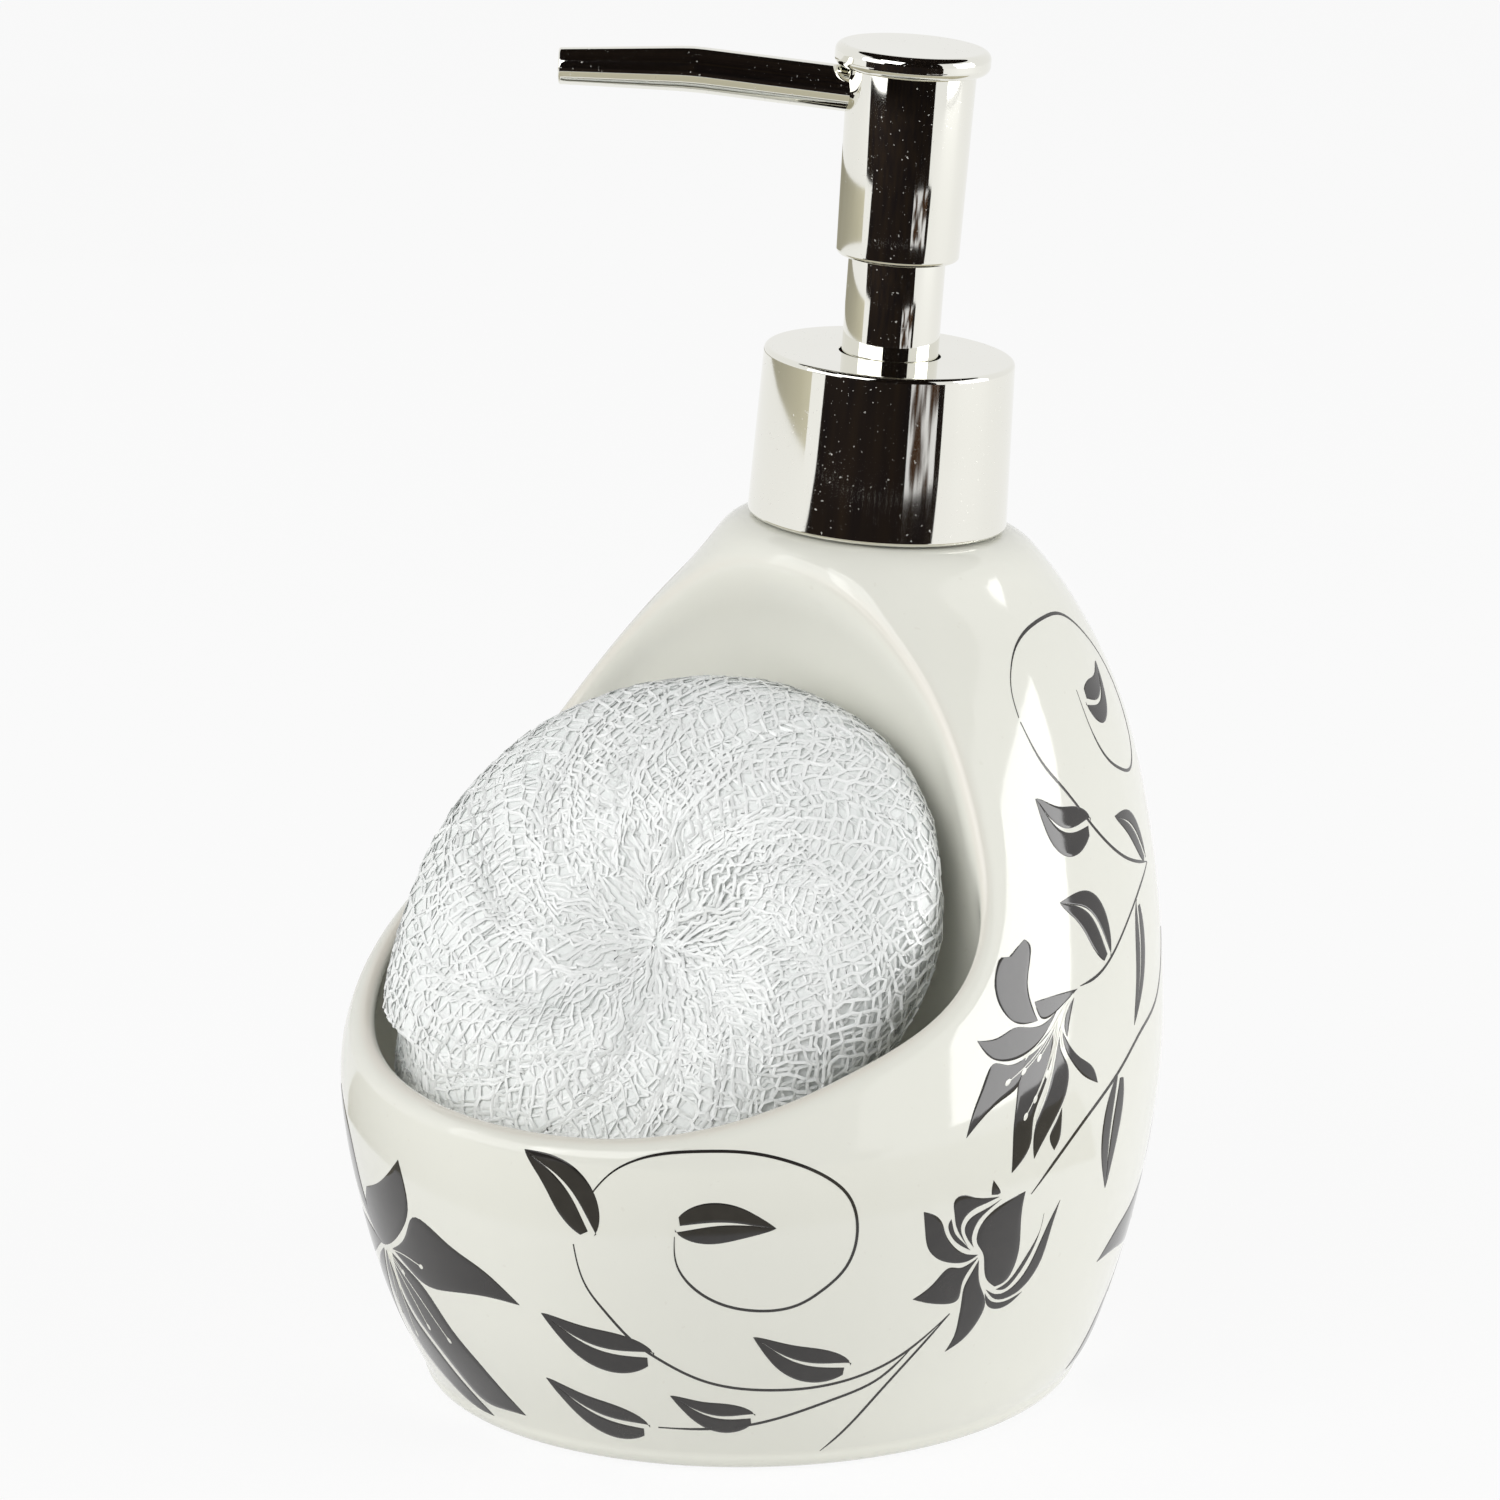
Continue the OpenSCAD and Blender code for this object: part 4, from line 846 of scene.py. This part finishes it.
white_plastic = plastic(
    "white_polypropylene", (238, 238, 234), (230, 230, 226), 0.30, Subsurface_Weight=0.15, Subsurface_Scale=0.002
)
natural_plastic = plastic(
    "natural_polypropylene", (232, 234, 232), (224, 226, 222), 0.24, Subsurface_Weight=0.3, Subsurface_Scale=0.003
)
clear_plastic = plastic("clear_tube", (240, 242, 240), (232, 234, 232), 0.16, Transmission_Weight=0.55)
seal_rubber = plastic("seal_rubber", (92, 92, 90), (78, 78, 76), 0.52)
foam = plastic("gasket_foam", (226, 226, 222), (208, 208, 204), 0.6)
spring_steel = steel()
for node, finish in {
    "neck_insert": white_plastic, "insert_seal": seal_rubber, "neck_gasket": foam, "pump_cylinder": natural_plastic,
    "stem_guide": white_plastic, "dip_tube": clear_plastic, "valve_ball": spring_steel,
    "piston": natural_plastic, "piston_rod": white_plastic, "piston_stem": white_plastic,
    "screw_closure": white_plastic, "head_core": white_plastic,
}.items():
    nodes[node].data.materials.clear()
    nodes[node].data.materials.append(finish)


# ------------------------------------------------------------
# Return spring. Round steel wire in six turns that lie closer together at both ends, between the
# cylinder's floor and the rod's head. The real spring shortens as the pump is pressed; this one keeps its length and
# rides with the pump unit.
SPRING_LOW, SPRING_HIGH, SPRING_OUT, SPRING_LEFT, TURNS = 84.25, 110.45, 4.90, 15.1, 6
WIRE_R, WIRE_SIDES, TURN_STEPS = 0.4, 12, 48
along_wire = np.linspace(0, 1, TURNS * TURN_STEPS + 1)
a = 2 * np.pi * TURNS * along_wire
coil_r = SPRING_OUT - WIRE_R
wire = np.stack([
    coil_r * np.cos(a), coil_r * np.sin(a) + PUMP_Y, mix(SPRING_LOW + WIRE_R, SPRING_HIGH - WIRE_R, ease(along_wire))
], -1)
outwards = np.stack([np.cos(a), np.sin(a), 0 * a], -1)
b = circle_angles(WIRE_SIDES)
rings = wire[:, None] + WIRE_R * (
    np.cos(b)[None, :, None] * outwards[:, None] + np.sin(b)[None, :, None] * DOWN
)
spring = add_piece("coil_spring", *skin(rings, wire[0], wire[-1]), "pump_unit", spring_steel, 60)
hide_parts("return_spring")
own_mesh(spring)


# ------------------------------------------------------------
# Net scrubber. A knitted polyester net tube, gathered at its middle, turned out and bunched in layers
# into a soft round pad, which the cradle's walls press in. Flat glossy strips meet in turn with those
# beside them, so that the net parts into six-sided cells that run out from the dimple.
SCRUB_L, SCRUB_T, SCRUB_LEAN, SCRUB_TURN, SCRUB_SIDE = 73.6, 22.0, 28.0, 20.0, 3.0
SCRUB_HALF_W, SCRUB_Y, SCRUB_Z, SCRUB_POWER = 33.77, -27.78, 61.15, 8 / 3
DIMPLE, DIMPLE_R = 4.0, 11.0
# Swellings of the pad's outline: waves round it, and the height of each wave's cosine and sine
SWELLINGS = np.array([[0, 0.34, 0], [1, -1.02, 0.11], [2, -0.27, 2.19], [3, 0, 1.18]])
CORNER, CORNER_AT, CORNER_WIDE = 3.8, np.radians(218), np.radians(27)
PAD_CLEAR, OVERHANG, PAD_UNDER = 0.5, 6.0, 0.6
NET_START, STRIP_W, STRIP_T = 1.0, 0.46, 0.11
# Where the net gapes: the way, the least cosine and the distance of the right side, and the oval by the dimple
SIDE_WAY, SIDE_COS, SIDE_TILT, SIDE_FROM = np.radians(22), 0.62, 0.38, 24
OVAL_X, OVAL_Y, OVAL_SLANT, OVAL_WIDE, OVAL_LONG = 6.5, 3.5, 0.35, 3.2, 6.0
# How far the knit strays round and along the pad, in slow waves and by chance, and how uneven its height and twist are
STRAY_ROUND, STRAY_ALONG, UNEVEN, TWIST = (1.1, 0.22), (0.9, 0.2), (0.07, 0.03), (0.35, 0.25)
lean, turn = np.radians(SCRUB_LEAN), np.radians(SCRUB_TURN)
ACROSS = np.array([np.cos(turn), np.sin(turn), 0])
UP = np.array([-np.sin(turn) * np.sin(lean), np.cos(turn) * np.sin(lean), np.cos(lean)])
OUT = np.array([np.sin(turn) * np.cos(lean), -np.cos(turn) * np.cos(lean), np.sin(lean)])
MIDDLE = np.array([SCRUB_SIDE, SCRUB_Y, SCRUB_Z])
scoop_s = np.linspace(0, 6.5, 200)


def drift(a, s, seed, count=8):
    """An uneven height over the pad, about -1 to 1: a sum of waves sin(m a + s / l + c) round and along it."""
    rng = np.random.default_rng(seed)
    m, l, c = rng.integers(3, 15, count), rng.uniform(1.4, 5, count), rng.uniform(0, 2 * np.pi, count)
    return np.sin(m * a[..., None] + s[..., None] / l + c).sum(-1) / count**0.5


def on_pad(e, a):
    """A point of the pad at angle a round it and e up from its edge towards its face, drawn in at the dimple:
    (w r cos a, l r sin a, t c) with r = cos(e)^(3/4) and c = sin(e)^(3/4)."""
    r = np.maximum(np.cos(e), 0) ** (2 / SCRUB_POWER)
    crown = np.sign(e) * np.abs(np.sin(e)) ** (2 / SCRUB_POWER)
    swell = sum(c * np.cos(m * a) + s * np.sin(m * a) for m, c, s in SWELLINGS)
    swell = swell + CORNER * np.exp(-(((a - CORNER_AT) / CORNER_WIDE) ** 2))
    x, y = (SCRUB_HALF_W + swell) * r * np.cos(a), (SCRUB_L / 2 + swell) * r * np.sin(a)
    z = SCRUB_T / 2 * crown - np.sign(crown) * DIMPLE * np.exp(-((np.hypot(x, y) / DIMPLE_R) ** 2))
    return MIDDLE + x[..., None] * ACROSS + y[..., None] * UP + z[..., None] * OUT


def pad_normal(e, a):
    """Way out of the pad: (cos(e)^(5/4) / w round it, sin(e)^(5/4) / t along it), made of length 1."""
    share = 2 - 2 / SCRUB_POWER
    r, crown = np.maximum(np.cos(e), 0) ** share / SCRUB_HALF_W, np.sign(e) * np.abs(np.sin(e)) ** share / SCRUB_T * 2
    n = (r * np.cos(a))[..., None] * ACROSS + (r * np.sin(a))[..., None] * UP + (crown + 0 * a)[..., None] * OUT
    return unit(n)


def pad_limit(p):
    """Positive where the pad would meet the ceramic: the cradle less a clearance, and free above the rim."""
    above = ease((p[..., 2] - np.interp(p[..., 1], scoop_y(scoop_s), scoop_z(scoop_s)) + 1) / 5)
    side = outside(p, mix(WALL * flare_at(p[..., 2]) + PAD_CLEAR, -OVERHANG, above))
    back = p[..., 1] - backrest_at(p) + PAD_CLEAR
    return larger(larger(side, back, CRADLE_CORNER), CRADLE_FLOOR + 0.3 - p[..., 2], CRADLE_CORNER)


def pressed(p, proud):
    """Draws a point towards the pad's middle where the cradle is in its way: the lesser of its own distance and
    the wall's, rounded where the two are alike."""
    way = p - MIDDLE
    far = np.linalg.norm(way, axis=-1, keepdims=True)
    wall = reach(pad_limit, MIDDLE, way / far)[..., None] - PAD_UNDER + np.asarray(proud)[..., None]
    return MIDDLE - way / far * larger(-far, -wall, 2.0)


edge_way = np.radians(np.linspace(89.9, -89.9, 4000))
along_pad = run_along(on_pad(edge_way, np.full(4000, 0.8)))


def opened(e, a):
    """Where the net gapes: along the right side of the pad, low down, and beside the dimple; 0 to 1."""
    r = np.maximum(np.cos(e), 0) ** (2 / SCRUB_POWER)
    x, y = SCRUB_HALF_W * r * np.cos(a), SCRUB_L / 2 * r * np.sin(a)
    out = x * np.cos(SIDE_TILT) - y * np.sin(SIDE_TILT)
    side = ease((np.cos(a + SIDE_WAY) - SIDE_COS) / 0.3) * ease((out - SIDE_FROM) / 8) * (e > -0.5)
    x, y = x - OVAL_X, y - OVAL_Y
    beside = ease(1.6 - np.hypot((x - OVAL_SLANT * y) / OVAL_WIDE, y / OVAL_LONG)) * (e > 0)
    return np.maximum(side, beside)


def net_layer(wales, pitch, proud, fall, last, seed):
    """Points and faces of one net round the pad: strips at the angles 2 pi (i + z / 2) / wales, where z steps from
    -1 to 1 and back along each and runs the other way on the next. Each is a flat four-sided tube on its path."""
    rng = np.random.default_rng(seed)
    halves = int((last - NET_START) / pitch)
    step = np.repeat(np.arange(halves), 2)
    i = np.arange(wales)[:, None]
    s = NET_START + (step + np.tile([0.10, 0.52], halves)) * pitch + 0 * i
    a = 2 * np.pi / wales * (i + 0.47 * (-1.0) ** (step + i))
    radius = np.maximum(np.cos(np.interp(s, along_pad, edge_way)), 0.02) ** 0.75 * SCRUB_HALF_W
    loose = rng.normal(0, 1, (2, wales, 2 * halves))
    a = a + (STRAY_ROUND[0] * drift(a, s, seed + 1) + STRAY_ROUND[1] * loose[0]) / np.maximum(radius, 3)
    s = s + STRAY_ALONG[0] * drift(a, s, seed + 2) + STRAY_ALONG[1] * loose[1]
    # Towards the dimple every second strip, and then three of four, go down under the rest
    sunk = ease((16 - radius) / 5) * (i % 2 == 1) + ease((9 - radius) / 4) * (i % 4 == 2)
    e = np.interp(s, along_pad, edge_way)
    height = proud + UNEVEN[0] * drift(a, s, seed + 3) + UNEVEN[1] * rng.normal(0, 1, s.shape)
    height = height - 0.5 * np.minimum(sunk, 1)
    height = height - fall * opened(e, a)
    n = pad_normal(e, a)
    path = pressed(on_pad(e, a) + height[..., None] * n, height)
    along = unit(np.gradient(path, axis=1))
    side = unit(np.cross(n, along))
    n = np.cross(along, side)
    twist = (TWIST[0] * drift(a, s, seed + 4) + TWIST[1] * rng.normal(0, 1, s.shape))[..., None]
    flat = (np.cos(twist) * side + np.sin(twist) * n) * STRIP_W / 2
    thick = (np.cos(twist) * n - np.sin(twist) * side) * STRIP_T / 2
    rings = path[:, :, None] + np.stack([flat, thick, -flat, -thick], 2)
    at = np.arange(rings[..., 0].size).reshape(rings.shape[:3])
    turn = np.roll(at, -1, axis=2)
    walls = np.stack([at[:, :-1], turn[:, :-1], turn[:, 1:], at[:, 1:]], -1).reshape(-1, 4)
    return rings.reshape(-1, 3), np.concatenate([walls, at[:, 0, ::-1], at[:, -1]])


def net_white(name, first, second, rough):
    """Polyester: white with a faint cool cloud, glossy on the strips and dull where they are matted."""
    n = Finish(name, IOR=1.5)
    n.feed("Base Color", n.tint(n.noise(260, 3), colour(*first), colour(*second)))
    n.feed("Roughness", rough + 0.15 * n.noise(500, 2))
    n.bump(n.noise(1400, 3), 0.0001, 0.6)
    return n.material


matted = net_white("matted_net", (250, 252, 250), (240, 244, 242), 0.35)
strips = net_white("net_strips", (250, 251, 250), (243, 246, 244), 0.12)
e = np.radians(np.linspace(-89, 89, 96))[:, None]
a = circle_angles(220)[None]
uneven = 0.05 * drift(a + 0 * e, 40 * e + 0 * a, 5) - 1.1 * opened(e + 0 * a, a + 0 * e)
poles = [MIDDLE + way * (SCRUB_T / 2 - DIMPLE) * OUT for way in (-1, 1)]
rings = on_pad(e, a) + (uneven * np.cos(e) ** 0.3)[..., None] * pad_normal(e, a)
pad = add_piece("net_pad", *skin(pressed(rings, uneven), *poles), "scrubber", matted)
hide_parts("net_scrubber")
for name, layers in {
    "outer_net": [(150, 1.5, 0.26, 0.0, along_pad[-1] - NET_START, 11)],
    "inner_net": [(128, 1.6, 0.15, 0.35, 62, 23), (104, 1.8, 0.07, 0.8, 60, 37)],
}.items():
    net = add_piece(name, *gather([net_layer(*layer) for layer in layers]), "scrubber", strips, 60)


# ------------------------------------------------------------
# Studio. A pale floor that runs back without a seam, soft light from all sides, stronger from the
# right and the front, and a dark room round the camera that only reflections see.
FLOOR, FLOOR_GLOW = (240, 240, 240), 0.9
LIT_POINT = np.array([0, 0, 0.07])
CAMERA_AT = np.array([0.589032, -0.764828, 0.337481])
CAMERA_BACK = np.array([0.595236, -0.761867, 0.255446])
CAMERA_RIGHT = np.array([0.788011, 0.615661, 0.0])
CAMERA_UP = np.array([-0.157268, 0.201294, 0.966823])
ROLL, LENS = 0.0750492, 185.64


def stand(thing, right, up, back, at):
    """Sets where a camera or lamp stands and its three axes."""
    pose = np.eye(4)
    pose[:3] = np.stack([right, up, back, at], 1)
    thing.matrix_world = pose.T.tolist()


camera = placed("camera", bpy.data.cameras.new("camera"))
camera.data.lens, camera.data.sensor_width, camera.data.clip_end = LENS, 36, 20
right = CAMERA_RIGHT * np.cos(ROLL) + CAMERA_UP * np.sin(ROLL)
up = CAMERA_UP * np.cos(ROLL) - CAMERA_RIGHT * np.sin(ROLL)
stand(camera, right, up, CAMERA_BACK, CAMERA_AT)
bpy.context.scene.camera = camera

floor_mesh = bpy.data.meshes.new("floor")
floor_mesh.from_pydata([(-6, -6, 0), (6, -6, 0), (6, 6, 0), (-6, 6, 0)], [], [(0, 1, 2, 3)])
floor = placed("floor", floor_mesh)
f = Finish("floor_white", Base_Color=colour(*FLOOR), Roughness=0.7)
paths = f.tree.nodes.new("ShaderNodeLightPath")
seen, glossy = Value(f, paths.outputs["Is Camera Ray"]), Value(f, paths.outputs["Is Glossy Ray"])
glow = f.node("ShaderNodeEmission", {}, {"Color": (1, 1, 1, 1), "Strength": 1.0})
joined = f.node("ShaderNodeMixShader", {}, {0: FLOOR_GLOW * seen + FLOOR_GLOW * glossy, 2: glow})
f.tree.links.new(f.shader.outputs[0], joined.socket.node.inputs[1])
f.tree.links.new(joined.socket, f.tree.nodes["Material Output"].inputs["Surface"])
floor_mesh.materials.append(f.material)


# The dark end of the studio, which only reflections see: the floor round the camera, up the wall and overhead.
# Rows of distance from the object, height, and the angles that bound it to the left and right of the camera
DARK_ROOM = np.array([
    [0.37, 0.003, -70, 46], [0.58, 0.003, -68, 47], [0.63, 0.003, -63, 50], [0.69, 0.003, -60, 52],
    [0.93, 0.003, -58, 53], [0.96, 0.003, -72, 46], [2.0, 0.003, -76, 44], [2.2, 0.2, -76, 44],
    [2.2, 1.5, -76, 44], [2.0, 2.0, -76, 44], [1.6, 2.2, -76, 44],
])
CLUTTER = (21, 47)
BLACK, BROWN = (0.003, 0.004, 0.008, 1), (0.03, 0.02, 0.012, 1)
WARM_DARK, COOL_WHITE = (0.06, 0.03, 0.015, 1), (0.95, 0.95, 0.98, 1)
CREAM, CREAM_LIGHT = (0.62, 0.58, 0.43, 1), (0.74, 0.71, 0.58, 1)
CAMERA_WAY = float(np.arctan2(CAMERA_BACK[1], CAMERA_BACK[0]))


def band(rows, left, right, steps=24):
    """Points and faces of rows (r, z) swept round the pump's axis between two angles from the camera's way, each
    one number or one for each row."""
    r, z = rows[:, :1], rows[:, 1:2]
    turn = mix(np.reshape(left, (-1, 1)), np.reshape(right, (-1, 1)), np.linspace(0, 1, steps))
    turn, z = np.broadcast_arrays(CAMERA_WAY + np.radians(turn) + 0 * r, z)
    points = np.stack([r * np.cos(turn), PUMP_Y * MM + r * np.sin(turn), z], -1)
    at = np.arange(turn.size).reshape(turn.shape)
    faces = np.stack([at[:-1, :-1], at[:-1, 1:], at[1:, 1:], at[1:, :-1]], -1)
    return points.reshape(-1, 3) / MM, faces.reshape(-1, 4)


def reflected(name, parts, finish):
    """A part of the studio that only reflections see."""
    seen = add_piece(name, *gather(parts), None, finish.material)
    seen.visible_camera = seen.visible_diffuse = seen.visible_shadow = seen.visible_transmission = False


roof = np.array([[0.01, 2.3], [1.2, 2.3], [2.1, 2.2]])
left, right = DARK_ROOM[:, 2], DARK_ROOM[:, 3]
mid = DARK_ROOM[3:5]
dark_wall = Finish("dark_studio", Roughness=1.0, Specular_IOR_Level=0.0)
streak = dark_wall.noise(2.0, 3, dark_wall.stretched(3, 3, 0.2))
dark_wall.feed("Base Color", dark_wall.tint(streak, BLACK, BROWN))
reflected("dark_studio", [
    band(DARK_ROOM[:4], left[:4], right[:4]), band(mid, left[3:5], CLUTTER[0]),
    band(mid, CLUTTER[1], right[3:5]), band(DARK_ROOM[4:], left[4:], right[4:]), band(roof, -180, 180, 48),
], dark_wall)
clutter = Finish("studio_clutter", Roughness=1.0, Specular_IOR_Level=0.0)
spots = clutter.step(clutter.noise(9, 4), 0.44, 0.56)
clutter.feed("Base Color", clutter.tint(spots, WARM_DARK, COOL_WHITE))
reflected("studio_clutter", [band(mid, *CLUTTER)], clutter)
# A cream cloth on the floor under the spout and, further out, to the left
cream = Finish("cream_cloth", Roughness=1.0, Specular_IOR_Level=0.0)
cream.feed("Base Color", cream.tint(cream.noise(3, 2), CREAM, CREAM_LIGHT))
under, beside = np.array([[0.11, 0.002], [0.345, 0.002]]), np.array([[0.70, 0.002], [0.90, 0.002]])
reflected("cream_cloth", [band(under, -120, 100), band(beside, -170, -73)], cream)


def soft_light(name, at, size, power):
    """A square soft box at a point, facing the object's middle."""
    lamp = bpy.data.lights.new(name, "AREA")
    lamp.shape, lamp.size, lamp.energy = "SQUARE", size, power
    lit = placed(name, lamp)
    back = unit(np.array(at) - LIT_POINT)
    side = unit(np.cross([0, 0, 1], back))
    stand(lit, side, np.cross(back, side), back, at)
    return lit


soft_light("front", (0.1, -1.5, 0.9), 1.0, 9.5)
soft_light("fill", (0.75, -1.25, 0.5), 1.0, 1.2).visible_glossy = False
soft_light("front_left", (-0.55, -1.3, 0.5), 1.0, 6.0)
soft_light("right_back", (1.15, 0.75, 0.45), 0.9, 12.5)

world = bpy.data.worlds.new("studio")
bpy.context.scene.world = world
world.use_nodes = True
w = Finish.__new__(Finish)
w.tree = world.node_tree
back_node = w.tree.nodes["Background"]
paths = w.tree.nodes.new("ShaderNodeLightPath")
glossy, seen = Value(w, paths.outputs["Is Glossy Ray"]), Value(w, paths.outputs["Is Camera Ray"])
shade = w.tint(glossy, (0.32, 0.32, 0.32, 1), (0.92, 0.92, 0.92, 1))
shade = w.tint(seen, shade, (1, 1, 1, 1))
w.tree.links.new(shade.socket, back_node.inputs["Color"])
back_node.inputs["Strength"].default_value = 1.0

bpy.context.scene.view_settings.view_transform = "Standard"
